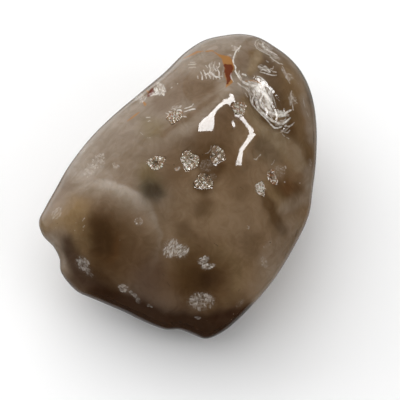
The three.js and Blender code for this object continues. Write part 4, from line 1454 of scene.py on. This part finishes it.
@dataclass
class AgateStone:
    """The stone itself: one polished pebble of banded chalcedony, with its hollows open.

    Attributes:
        form: Its skin.
        markings: The colours and lines on it.
        divisions: How finely the ball that it starts from is divided.
        inset: The share that it is drawn in along each axis, to stay inside the solid's box.
        wall_steepness: How steeply a hollow's wall drops.
        wall_edge: Where its skin gives way to its wall, as shares of the wall's radius.
        piece: The finished stone.
        shift: The way from the middle of the body to the part's origin.
        socles: Where each hollow sits.
    """

    form: StoneForm
    markings: Markings
    divisions: int = 7
    inset: tuple[float, float, float] = (0.0013, 0.0013, 0.0023)
    wall_steepness: int = 6
    wall_edge: tuple[float, float] = (0.86, 1.0)
    piece: bpy.types.Object = field(init=False)
    shift: np.ndarray = field(init=False)
    socles: list[Socle] = field(init=False)

    def build(self) -> bpy.types.Object:
        """Model the stone at its real place.

        Returns:
            The finished stone, with every marking's field on its corners.
        """
        deselect_all()
        bpy.ops.mesh.primitive_ico_sphere_add(subdivisions=self.divisions, radius=1.0)
        self.piece = bpy.context.object
        self.piece.name = "polished_stone"
        for level in (1, 2):
            self._split_where_fine(level)
        mesh = self.piece.data
        write_points(mesh, self.form.skin(self._directions()))
        self._wear_rest_flat()
        self._mark()
        self._sink_hollows()
        points = read_points(mesh)
        low, high = points.min(axis=0), points.max(axis=0)
        self.shift = np.array([-(low[0] + high[0]) / 2, -(low[1] + high[1]) / 2, -low[2]])
        write_points(mesh, (points + self.shift) * (1 - np.array(self.inset)) * MM)
        activate(self.piece)
        bpy.ops.object.shade_smooth()
        return self.piece

    def _directions(self) -> np.ndarray:
        """Return the direction of every corner from the middle."""
        points = read_points(self.piece.data)
        return points / np.linalg.norm(points, axis=1)[:, None]

    def _split_where_fine(self, level: int) -> None:
        """Split the facets near small features into four, while the stone is still a ball.

        Args:
            level: The facets that need this many splits or more are split.
        """
        mesh = self.piece.data
        write_points(mesh, self._directions())
        middles = np.empty(len(mesh.polygons) * 3)
        mesh.polygons.foreach_get("center", middles)
        middles = middles.reshape(-1, 3)
        middles /= np.linalg.norm(middles, axis=1)[:, None]
        chosen = self.markings.fineness(self.form.skin(middles), middles) >= level
        select_faces(self.piece, chosen)
        bpy.ops.mesh.subdivide(number_cuts=1)
        finish_in_triangles()

    def _wear_rest_flat(self) -> None:
        """Cut the underside off flat at the level that the stone rests on, and close it."""
        activate(self.piece)
        bpy.ops.object.mode_set(mode="EDIT")
        bpy.ops.mesh.select_all(action="SELECT")
        bpy.ops.mesh.bisect(
            plane_co=(0, 0, self.form.rest_level),
            plane_no=(0, 0, 1),
            clear_inner=True,
            use_fill=True,
        )
        finish_in_triangles()

    def _mark(self) -> None:
        """Store every marking's field on the corners, before the hollows are sunk."""
        mesh = self.piece.data
        points, normals = read_points(mesh), read_normals(mesh)
        write_field(mesh, "tint", self.markings.tint(points, normals))
        write_field(mesh, "amber", self.markings.veins(points, normals, AMBER_VEINS))
        write_field(mesh, "red", self.markings.veins(points, normals, RED_VEINS))
        write_field(mesh, "haze", self.markings.haze(points, normals))
        nearest, bright = self.markings.drawn(points, normals)
        write_field(mesh, "thread", nearest)
        write_field(mesh, "bright", bright)

    def _sink_hollows(self) -> None:
        """Sink each hollow into the skin, straight in, with a steep lumpy wall."""
        mesh = self.piece.data
        points, normals = read_points(mesh), read_normals(mesh)
        across, up, _ = self.form.seen(points)
        inside = np.zeros(len(points))
        self.socles = []
        sunk = points.copy()
        for seed, hollow in enumerate(HOLLOWS):
            away = away_from(across, up, hollow.at)
            away[hollow.side * (normals @ self.form.axes[2]) < 0] = np.inf
            nearest = int(np.argmin(away))
            socle = Socle(hollow, points[nearest], normals[nearest], self.form.axes[0], seed)
            share = socle.share(points)
            depth = hollow.depth * np.clip(1 - share**self.wall_steepness, 0, 1)
            sunk -= depth[:, None] * socle.facing
            inside = np.maximum(inside, 1 - smooth_step(share, *self.wall_edge))
            self.socles.append(socle)
        write_points(mesh, sunk)
        write_field(mesh, "hollow", inside)


@dataclass
class QuartzCrystal:
    """One six-sided quartz crystal with a point, standing on the origin, a millimetre tall.

    Attributes:
        girth: Half its width.
        shoulder: The height at which its point starts.
    """

    girth: float = 0.2
    shoulder: float = 0.62

    def build(self) -> bpy.types.Object:
        """Model the crystal, with its height stored as a field, from which its glint is painted towards
        the tip.

        Returns:
            The crystal, to be copied.
        """
        deselect_all()
        bpy.ops.mesh.primitive_cylinder_add(
            vertices=6,
            radius=self.girth,
            depth=self.shoulder,
            location=(0, 0, self.shoulder / 2),
        )
        piece = bpy.context.object
        bpy.ops.object.transform_apply(location=True, rotation=True, scale=True)
        mesh = piece.data
        top = np.array([face.normal.z > 0.9 for face in mesh.polygons])
        select_faces(piece, top)
        bpy.ops.mesh.extrude_region_move(TRANSFORM_OT_translate={"value": (0, 0, 1 - self.shoulder)})
        bpy.ops.mesh.merge(type="CENTER")
        bpy.ops.object.mode_set(mode="OBJECT")
        write_field(mesh, "tip_glint", read_points(mesh)[:, 2])
        return piece


@dataclass
class DruseCrust:
    """The crust of quartz crystals in one hollow: a lumpy bed, and small crystals crowded on it.

    Attributes:
        socle: Where its hollow sits.
        shift: The way from the middle of the body to the part's origin.
        crystals: How many places for crystals it has.
        crowd: How far out they stand, as a share of the wall's radius.
        bare: A place that lies deeper in a gap than this has no crystal.
        bed_reach: How far out the bed goes, in the same way.
        bed_drop: How far below the skin the bed's middle lies.
        bed_rise: How much higher its rim is.
        bed_lump: How lumpy it is.
        gap_drop: How much deeper it lies in a gap.
        root: How deep a crystal's foot is in the bed.
    """

    socle: Socle
    shift: np.ndarray
    crystals: int = 130
    crowd: float = 0.95
    bare: float = 0.4
    bed_reach: float = 0.97
    bed_drop: float = 0.4
    bed_rise: float = 0.28
    bed_lump: float = 0.07
    gap_drop: float = 0.6
    root: float = 0.18

    def build(self, crystal: bpy.types.Object) -> bpy.types.Object:
        """Model the crust at its real place.

        Args:
            crystal: The crystal that is copied, with its foot on the origin.

        Returns:
            The crust as one object.
        """
        hollow = self.socle.hollow
        parts = [self._bed()]
        rng = np.random.default_rng(40 + self.socle.seed)
        for number in range(self.crystals):
            out = math.sqrt((number + 0.5) / self.crystals)
            turn = number * math.pi * (3 - math.sqrt(5)) + rng.uniform(-0.3, 0.3)
            reach = self.crowd * float(self.socle.reach(turn)) * out
            across, up = reach * math.cos(turn), reach * math.sin(turn)
            stance = self._stance(across, up, rng)
            if hollow.spotted(across, up, hollow.gaps) > self.bare:
                continue
            copy = crystal.copy()
            copy.data = crystal.data.copy()
            bpy.context.collection.objects.link(copy)
            copy.data.transform(stance)
            milk = max(hollow.pale * rng.uniform(0.3, 1.3), hollow.spotted(across, up, hollow.milk))
            write_field(copy.data, "milk", np.full(len(copy.data.vertices), milk))
            parts.append(copy)
        deselect_all()
        for part in parts:
            part.select_set(True)
        bpy.context.view_layer.objects.active = parts[0]
        bpy.ops.object.join()
        crust = bpy.context.object
        crust.name = f"crystals_{hollow.name}"
        turn = Matrix(self.socle.frame().T.tolist()).to_4x4()
        middle = Matrix.Translation(Vector(self.socle.middle + self.shift))
        crust.data.transform(Matrix.Scale(MM, 4) @ middle @ turn)
        write_field(crust.data, "rust", np.full(len(crust.data.vertices), hollow.rust))
        return crust

    def _bowl(self, across: float, up: float) -> float:
        """Work out how high the bed lies.

        Args:
            across: The place, across the hollow.
            up: The place, up the hollow.

        Returns:
            Its height, negative below the skin.
        """
        hollow = self.socle.hollow
        share = math.hypot(across, up) / hollow.radius
        lump = self.bed_lump * math.sin(5.1 * across + self.socle.seed) * math.sin(4.3 * up)
        sunk = self.gap_drop * hollow.spotted(across, up, hollow.gaps)
        return -self.bed_drop + self.bed_rise * min(share, 1) ** 2 + lump - sunk

    def _bed(self) -> bpy.types.Object:
        """Model the bed that the crystals stand on.

        Returns:
            The bed, closed all round.
        """
        hollow = self.socle.hollow
        deselect_all()
        bpy.ops.mesh.primitive_ico_sphere_add(subdivisions=5, radius=1.0)
        bed = bpy.context.object
        points = read_points(bed.data)
        reach = self.bed_reach * self.socle.reach(np.arctan2(points[:, 1], points[:, 0]))
        points[:, 0] *= reach
        points[:, 1] *= reach
        top = np.array([self._bowl(x, y) for x, y in points[:, :2]])
        points[:, 2] = np.where(points[:, 2] > 0, top, top + points[:, 2] * 0.45 * (hollow.depth - 0.5))
        write_points(bed.data, points)
        write_field(bed.data, "tip_glint", np.zeros(len(points)))
        write_field(bed.data, "milk", np.full(len(points), 0.5 * hollow.pale))
        return bed

    def _stance(self, across: float, up: float, rng: np.random.Generator) -> Matrix:
        """Work out how one crystal stands on the bed.

        Args:
            across: Its place, across the hollow.
            up: Its place, up the hollow.
            rng: The chance in its lean and size.

        Returns:
            Its place, lean and size, as one matrix.
        """
        hollow = self.socle.hollow
        foot = Vector((across, up, self._bowl(across, up) - self.root))
        out = math.hypot(across, up) / hollow.radius
        lean = Vector((-across, -up, 0)) * (0.35 * out / hollow.radius)
        aim = lean + Vector((rng.uniform(-0.4, 0.4), rng.uniform(-0.4, 0.4), 1))
        tall = max(min(rng.uniform(0.34, 0.62), -foot.z - 0.02), 0.15)
        girth = rng.uniform(0.45, 0.95)
        spin = Matrix.Rotation(rng.uniform(0, math.pi), 4, "Z")
        lay = Vector((0, 0, 1)).rotation_difference(aim.normalized()).to_matrix().to_4x4()
        return Matrix.Translation(foot) @ lay @ spin @ Matrix.Diagonal((girth, girth, tall, 1))


Socket = bpy.types.NodeSocket


class NodeBench:
    """Builds one material's nodes, a call for each."""

    def __init__(self, name: str) -> None:
        """Start a material that has only its shader.

        Args:
            name: What the material is called.
        """
        self.material = bpy.data.materials.new(name)
        self.material.use_nodes = True
        self.tree = self.material.node_tree
        self.shader = self.tree.nodes["Principled BSDF"]
        self.object_place = self.tree.nodes.new("ShaderNodeTexCoord").outputs["Object"]

    def _feed(self, socket: Socket, value: "Socket | float | Colour") -> None:
        """Link a socket to another, or set its own value.

        Args:
            socket: The socket that is fed.
            value: The socket that feeds it, or its value.
        """
        if isinstance(value, bpy.types.NodeSocket):
            self.tree.links.new(value, socket)
        elif isinstance(value, tuple) and len(value) == 3 and socket.type == "RGBA":
            socket.default_value = (*value, 1.0)
        else:
            socket.default_value = value

    def field(self, name: str, part: str = "Fac") -> Socket:
        """Read a field that is stored on the mesh.

        Args:
            name: The field.
            part: The output that is wanted: Fac for a number, Vector for three.

        Returns:
            That output.
        """
        node = self.tree.nodes.new("ShaderNodeAttribute")
        node.attribute_name = name
        return node.outputs[part]

    def math(self, operation: str, first: "Socket | float", second: "Socket | float" = 0.0) -> Socket:
        """Do one sum.

        Args:
            operation: What is done.
            first: The first value.
            second: The second value.

        Returns:
            The result.
        """
        node = self.tree.nodes.new("ShaderNodeMath")
        node.operation = operation
        self._feed(node.inputs[0], first)
        self._feed(node.inputs[1], second)
        return node.outputs[0]

    def rise(self, value: Socket, low: float, high: float, top: "Socket | float" = 1.0) -> Socket:
        """Turn a value into a smooth rise.

        Args:
            value: The value.
            low: Where the rise starts, at 0.
            high: Where it ends.
            top: What it ends at.

        Returns:
            The rise.
        """
        node = self.tree.nodes.new("ShaderNodeMapRange")
        node.interpolation_type = "SMOOTHSTEP"
        self._feed(node.inputs["Value"], value)
        self._feed(node.inputs["From Min"], low)
        self._feed(node.inputs["From Max"], high)
        self._feed(node.inputs["To Max"], top)
        return node.outputs["Result"]

    def noise(self, per_mm: float, detail: float, **more: float) -> Socket:
        """Make a smooth noise that is fixed to the piece.

        Args:
            per_mm: How many lumps it has to a millimetre.
            detail: How many finer layers it has.
            **more: Other sockets of the noise, by name.

        Returns:
            The noise, from 0 to 1.
        """
        node = self.tree.nodes.new("ShaderNodeTexNoise")
        self._feed(node.inputs["Vector"], self.object_place)
        node.inputs["Scale"].default_value = per_mm / MM
        node.inputs["Detail"].default_value = detail
        for name, value in more.items():
            node.inputs[name].default_value = value
        return node.outputs["Fac"]

    def mix(
        self,
        share: "Socket | float",
        first: "Socket | Colour",
        second: "Socket | Colour",
        blend: str = "MIX",
    ) -> Socket:
        """Mix two colours.

        Args:
            share: How much of the second there is.
            first: The first colour.
            second: The second colour.
            blend: The way that the second is laid over the first.

        Returns:
            The mixed colour.
        """
        node = self.tree.nodes.new("ShaderNodeMix")
        node.data_type = "RGBA"
        node.blend_type = blend
        self._feed(node.inputs["Factor"], share)
        self._feed(node.inputs[6], first)
        self._feed(node.inputs[7], second)
        return node.outputs[2]

    def paint(self, name: str, value: "Socket | float | Colour") -> None:
        """Feed one of the shader's sockets."""
        self._feed(self.shader.inputs[name], value)


@dataclass(frozen=True)
class ChalcedonyFinish:
    """Polished smoky chalcedony: translucent, with its colours lying a little under the skin.

    Attributes:
        fibre: The white fibres and their haze, and the painted glint.
        scratch: The dark threads.
        amber: The pale edge of a vein.
        red: Its core.
        wall: The bare wall of a hollow.
        darker: What the clouding multiplies the colour by at its darkest.
        lighter: The same at its lightest.
        pale_speck: The pale specks.
        dark_speck: The dark specks.
        amber_cover: How far the pale edge hides the stone.
        red_cover: How far the core does.
        polish: The roughness of the polished skin.
        fibre_rough: The roughness of the fibres.
        wall_rough: The roughness of a hollow's wall.
        shine: How strongly the polish mirrors.
        glow: How much of the light passes under the skin.
        glow_reach: How far it goes in red, green and blue, as shares of its depth.
        glow_depth: That depth, in millimetres.
    """

    fibre: Colour = (0.68, 0.635, 0.575)
    scratch: Colour = (0.018, 0.012, 0.009)
    amber: Colour = (0.330, 0.148, 0.040)
    red: Colour = (0.115, 0.026, 0.013)
    wall: Colour = (0.190, 0.138, 0.090)
    darker: Colour = (0.80, 0.76, 0.70)
    lighter: Colour = (1.16, 1.17, 1.20)
    pale_speck: Colour = (0.34, 0.28, 0.22)
    dark_speck: Colour = (0.02, 0.015, 0.012)
    amber_cover: float = 0.85
    red_cover: float = 0.92
    polish: float = 0.07
    fibre_rough: float = 0.42
    wall_rough: float = 0.6
    shine: float = 0.35
    glow: float = 0.25
    glow_reach: Colour = (1.0, 0.62, 0.38)
    glow_depth: float = 0.8

    def build(self) -> bpy.types.Material:
        """Make the stone's material.

        Returns:
            The material.
        """
        bench = NodeBench("smoky chalcedony")
        colour = self._mottled(bench, bench.field("tint", "Vector"))
        colour = self._vein(bench, colour, "amber", self.amber, self.amber_cover)
        colour = self._vein(bench, colour, "red", self.red, self.red_cover)
        colour = bench.mix(bench.field("hollow"), colour, self.wall)
        white = self._white(bench)
        colour = bench.mix(white, colour, self.fibre)
        colour = bench.mix(self._drawn(bench, -1.0), colour, self.scratch)
        colour = self._specks(bench, colour)
        bench.paint("Base Color", colour)
        rough = bench.math("MAXIMUM", bench.math("MULTIPLY", white, self.fibre_rough), self.polish)
        wall = bench.math("MULTIPLY", bench.field("hollow"), self.wall_rough)
        bench.paint("Roughness", bench.math("MAXIMUM", rough, wall))
        bench.paint("IOR", QUARTZ_INDEX)
        bench.paint("Specular IOR Level", self.shine)
        bench.paint("Subsurface Weight", self.glow)
        bench.paint("Subsurface Radius", self.glow_reach)
        bench.paint("Subsurface Scale", self.glow_depth * MM)
        return bench.material

    def _mottled(self, bench: NodeBench, tint: Socket) -> Socket:
        """Cloud the stone's colour: lighter and darker, greyer and browner.

        Args:
            bench: The material's nodes.
            tint: The stone's colour.

        Returns:
            The clouded colour.
        """
        drift = bench.noise(0.07, 4, Roughness=0.55, Distortion=0.6)
        wisp = bench.noise(0.3, 5, Roughness=0.62, Distortion=1.4)
        darker = bench.mix(1.0, tint, self.darker, blend="MULTIPLY")
        lighter = bench.mix(1.0, tint, self.lighter, blend="MULTIPLY")
        cloud = bench.math("ADD", bench.math("MULTIPLY", drift, 0.55), bench.math("MULTIPLY", wisp, 0.45))
        return bench.mix(bench.rise(cloud, 0.34, 0.66), darker, lighter)

    def _vein(self, bench: NodeBench, under: Socket, name: str, tint: Colour, cover: float) -> Socket:
        """Lay one set of veins over the colour, soft and a little ragged.

        Args:
            bench: The material's nodes.
            under: The colour so far.
            name: The veins' field.
            tint: Their colour.
            cover: How far they hide what is under them.

        Returns:
            The colour with the veins.
        """
        ragged = bench.math("MULTIPLY", bench.math("SUBTRACT", bench.noise(1.8, 3), 0.5), 0.35)
        depth = bench.math("ADD", bench.field(name), ragged)
        return bench.mix(bench.rise(depth, 0.16, -0.14, cover), under, tint)

    def _drawn(self, bench: NodeBench, sign: float) -> Socket:
        """Work out how strongly one kind of thread shows.

        Args:
            bench: The material's nodes.
            sign: 1 for the white threads and -1 for the dark ones.

        Returns:
            The strength, from 0 to 1.
        """
        ragged = bench.math("SUBTRACT", bench.noise(2.6, 4, Roughness=0.75), 0.5)
        depth = bench.math("ADD", bench.field("thread"), bench.math("MULTIPLY", ragged, 0.42))
        strength = bench.math("MAXIMUM", bench.math("MULTIPLY", bench.field("bright"), sign), 0.0)
        worn = bench.math("ADD", bench.rise(bench.noise(1.3, 2), 0.36, 0.56, 0.5), 0.5)
        strength = bench.math("MULTIPLY", strength, worn)
        return bench.math("MULTIPLY", bench.rise(depth, 0.09, -0.07), strength)

    def _white(self, bench: NodeBench) -> Socket:
        """Work out how white the skin is: its threads, and a grainy haze between them.

        Args:
            bench: The material's nodes.

        Returns:
            The whiteness, from 0 to 1.
        """
        grain = bench.noise(2.6, 4, Roughness=0.7)
        haze = bench.math("MULTIPLY", bench.field("haze"), bench.rise(grain, 0.38, 0.72, 0.6))
        return bench.math("MAXIMUM", haze, self._drawn(bench, 1.0))

    def _specks(self, bench: NodeBench, under: Socket) -> Socket:
        """Scatter sparse fine specks over the colour, some dark and some pale.

        Args:
            bench: The material's nodes.
            under: The colour so far.

        Returns:
            The colour with the specks.
        """
        cells = bench.tree.nodes.new("ShaderNodeTexVoronoi")
        bench.tree.links.new(bench.object_place, cells.inputs["Vector"])
        cells.inputs["Scale"].default_value = 0.5 / MM
        near = bench.rise(cells.outputs["Distance"], 0.075, 0.035, 0.6)
        parts = bench.tree.nodes.new("ShaderNodeSeparateColor")
        bench.tree.links.new(cells.outputs["Color"], parts.inputs[0])
        pale = bench.math("MULTIPLY", near, bench.math("GREATER_THAN", parts.outputs[0], 0.8))
        dark = bench.math("MULTIPLY", near, bench.math("LESS_THAN", parts.outputs[1], 0.14))
        colour = bench.mix(pale, under, self.pale_speck)
        return bench.mix(dark, colour, self.dark_speck)


@dataclass(frozen=True)
class DruseFinish:
    """Fine quartz crystals: milky white to tan on a brown bed, rusty where iron has stained them, and
    painted lighter towards their tips as glints.

    Attributes:
        white: The milkiest crystals.
        tan: The plainer ones.
        brown: The bed, and the crystals' feet.
        rust: The iron stain.
        cover: How far the stain hides the quartz.
        rough: The roughness of the faces.
        glow: How much of the light passes into the crystals.
        glow_depth: How deep that light goes, in millimetres.
    """

    white: Colour = (0.68, 0.635, 0.56)
    tan: Colour = (0.36, 0.285, 0.20)
    brown: Colour = (0.205, 0.148, 0.094)
    rust: Colour = (0.26, 0.105, 0.036)
    cover: float = 0.85
    rough: float = 0.22
    glow: float = 0.15
    glow_depth: float = 0.3

    def build(self) -> bpy.types.Material:
        """Make the crystals' material.

        Returns:
            The material.
        """
        bench = NodeBench("quartz druse")
        milk = bench.field("milk")
        body = bench.mix(bench.rise(milk, 0.0, 0.45), self.brown, self.tan)
        body = bench.mix(bench.rise(milk, 0.4, 0.95), body, self.white)
        # Painted glint: each crystal is painted lighter towards its tip, up to its own colour, and keeps
        # the bed's brown at its foot.
        tip_glint = bench.rise(bench.field("tip_glint"), 0.1, 0.8)
        colour = bench.mix(tip_glint, bench.mix(bench.rise(milk, 0.2, 1.0, 0.6), self.brown, self.tan), body)
        patch = bench.rise(bench.noise(0.8, 2), 0.4, 0.62)
        stain = bench.math("MULTIPLY", bench.math("MULTIPLY", bench.field("rust"), patch), self.cover)
        plain = bench.rise(milk, 0.9, 0.5)
        colour = bench.mix(bench.math("MULTIPLY", stain, plain), colour, self.rust)
        bench.paint("Base Color", colour)
        bench.paint("Roughness", self.rough)
        bench.paint("IOR", QUARTZ_INDEX)
        bench.paint("Subsurface Weight", self.glow)
        bench.paint("Subsurface Scale", self.glow_depth * MM)
        return bench.material


@dataclass(frozen=True)
class Softbox:
    """One soft light, placed as seen from the show face.

    Attributes:
        name: What it is called.
        towards: The way to it from the stone.
        distance: How far off it stands.
        size: How wide and how tall it is.
        power: Its power in watts.
        mirrored: Whether the polish mirrors it.
        lights: Whether it lights the stone, or is only mirrored.
    """

    name: str
    towards: tuple[float, float, float]
    distance: float
    size: tuple[float, float]
    power: float
    mirrored: bool = False
    lights: bool = True


SOFTBOXES = (
    Softbox("key", (-0.35, 0.75, 0.85), 0.9, (1.6, 1.4), 6.4),
    Softbox("window", (-0.5, 0.85, 0.1), 0.8, (1.2, 0.8), 4.2),
    Softbox("fill", (0.8, -0.1, 0.8), 0.9, (0.7, 0.7), 1.6),
    Softbox("panel", (0.318, 0.767, 0.556), 0.6, (0.324, 0.486), 11.0, mirrored=True, lights=False),
    Softbox("left card", (-0.6, 0.6, -0.62), 0.6, (1.1, 0.6), 1.0, mirrored=True, lights=False),
    Softbox("rim card", (0.0, 0.0, -1.0), 0.85, (1.2, 1.2), 0.95, mirrored=True, lights=False),
)


@dataclass
class Studio:
    """A plain pale floor, soft lights and the camera, all placed from the show face.

    Attributes:
        form: The stone's skin.
        middle: The middle of the body from the part's origin, in millimetres.
        floor_size: How wide the floor is, in metres.
        floor_colour: Its colour.
        sky: The strength of the light from all round.
        camera_distance: How far off the camera stands, in metres.
        sensor: The width of its sensor, in millimetres.
        frame_width: The width that it sees at the stone, in metres.
        view_centre: The middle of the view on the show face, in millimetres.
    """

    form: StoneForm
    middle: np.ndarray
    floor_size: float = 6.0
    floor_colour: Colour = (0.93, 0.93, 0.93)
    sky: float = 0.45
    camera_distance: float = 1.0
    sensor: float = 36.0
    frame_width: float = MM_PER_PIXEL * PHOTO_PIXELS * MM
    view_centre: Place = (1.72, -2.37)

    def build(self) -> None:
        """Build the floor, the lights and the camera."""
        self._floor()
        self._world()
        for box in SOFTBOXES:
            self._light(box)
        self._camera()

    def _at(self, across: float, up: float, out: float) -> Vector:
        """Return the place that far across, up and out of the face, in metres, from the body's middle."""
        return Vector(np.array([across, up, out]) @ self.form.axes) + Vector(self.middle * MM)

    def _floor(self) -> None:
        """Lay the floor just under the flat spot."""
        deselect_all()
        bpy.ops.mesh.primitive_plane_add(size=self.floor_size, location=(0, 0, 0))
        floor = bpy.context.object
        floor.name = "floor"
        bench = NodeBench("pale floor")
        bench.paint("Base Color", self.floor_colour)
        bench.paint("Roughness", 0.9)
        bench.paint("Specular IOR Level", 0.1)
        floor.data.materials.append(bench.material)
        floor.visible_glossy = False

    def _world(self) -> None:
        """Light everything from all round with a plain near-white sky."""
        world = bpy.data.worlds.new("studio")
        world.use_nodes = True
        sky = world.node_tree.nodes["Background"]
        sky.inputs["Color"].default_value = (1.0, 1.0, 1.0, 1.0)
        sky.inputs["Strength"].default_value = self.sky
        world.cycles_visibility.glossy = False
        bpy.context.scene.world = world

    def _light(self, box: Softbox) -> None:
        """Hang one soft light, facing the stone.

        Args:
            box: The light.
        """
        data = bpy.data.lights.new(box.name, "AREA")
        data.shape = "RECTANGLE"
        data.size, data.size_y = box.size
        data.energy = box.power
        light = bpy.data.objects.new(box.name, data)
        bpy.context.collection.objects.link(light)
        towards = np.array(box.towards) / np.linalg.norm(box.towards) * box.distance
        light.location = self._at(*towards)
        back = (light.location - self._at(0, 0, 0)).normalized()
        across = Vector(self.form.axes[0])
        across = (across - across.dot(back) * back).normalized()
        light.rotation_euler = Matrix((across, back.cross(across), back)).transposed().to_euler()
        light.visible_glossy = box.mirrored
        light.visible_diffuse = box.lights

    def _camera(self) -> None:
        """Stand the camera straight out from the show face, far off with a long lens."""
        data = bpy.data.cameras.new("camera")
        data.sensor_width = self.sensor
        data.lens = data.sensor_width * self.camera_distance / self.frame_width
        data.clip_start, data.clip_end = 0.01, 20.0
        camera = bpy.data.objects.new("camera", data)
        bpy.context.collection.objects.link(camera)
        across, up = (value * MM for value in self.view_centre)
        camera.location = self._at(across, up, self.camera_distance)
        axes = Matrix(self.form.axes.T.tolist())
        camera.rotation_euler = axes.to_euler()
        bpy.context.scene.camera = camera


def main() -> None:
    """Build the stone, its druses and the studio, and report each piece."""
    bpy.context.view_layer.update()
    form = StoneForm()
    stone = AgateStone(form, Markings(form))
    piece = stone.build()
    piece.data.materials.append(ChalcedonyFinish().build())
    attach(piece, "root")
    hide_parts("agate")
    log.info("%s: %d facets", piece.name, len(piece.data.polygons))
    crystal = QuartzCrystal().build()
    quartz = DruseFinish().build()
    for socle in stone.socles:
        crust = DruseCrust(socle, stone.shift).build(crystal)
        crust.data.materials.append(quartz)
        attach(crust, "root")
        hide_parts(f"druse_{socle.hollow.name}")
        log.info("%s: %d facets", crust.name, len(crust.data.polygons))
    bpy.data.objects.remove(crystal)
    Studio(form, stone.shift).build()
    bpy.context.scene.view_settings.view_transform = "Standard"


if __name__ == "__main__":
    logging.basicConfig(level=logging.INFO, format="%(name)s %(message)s")
    main()
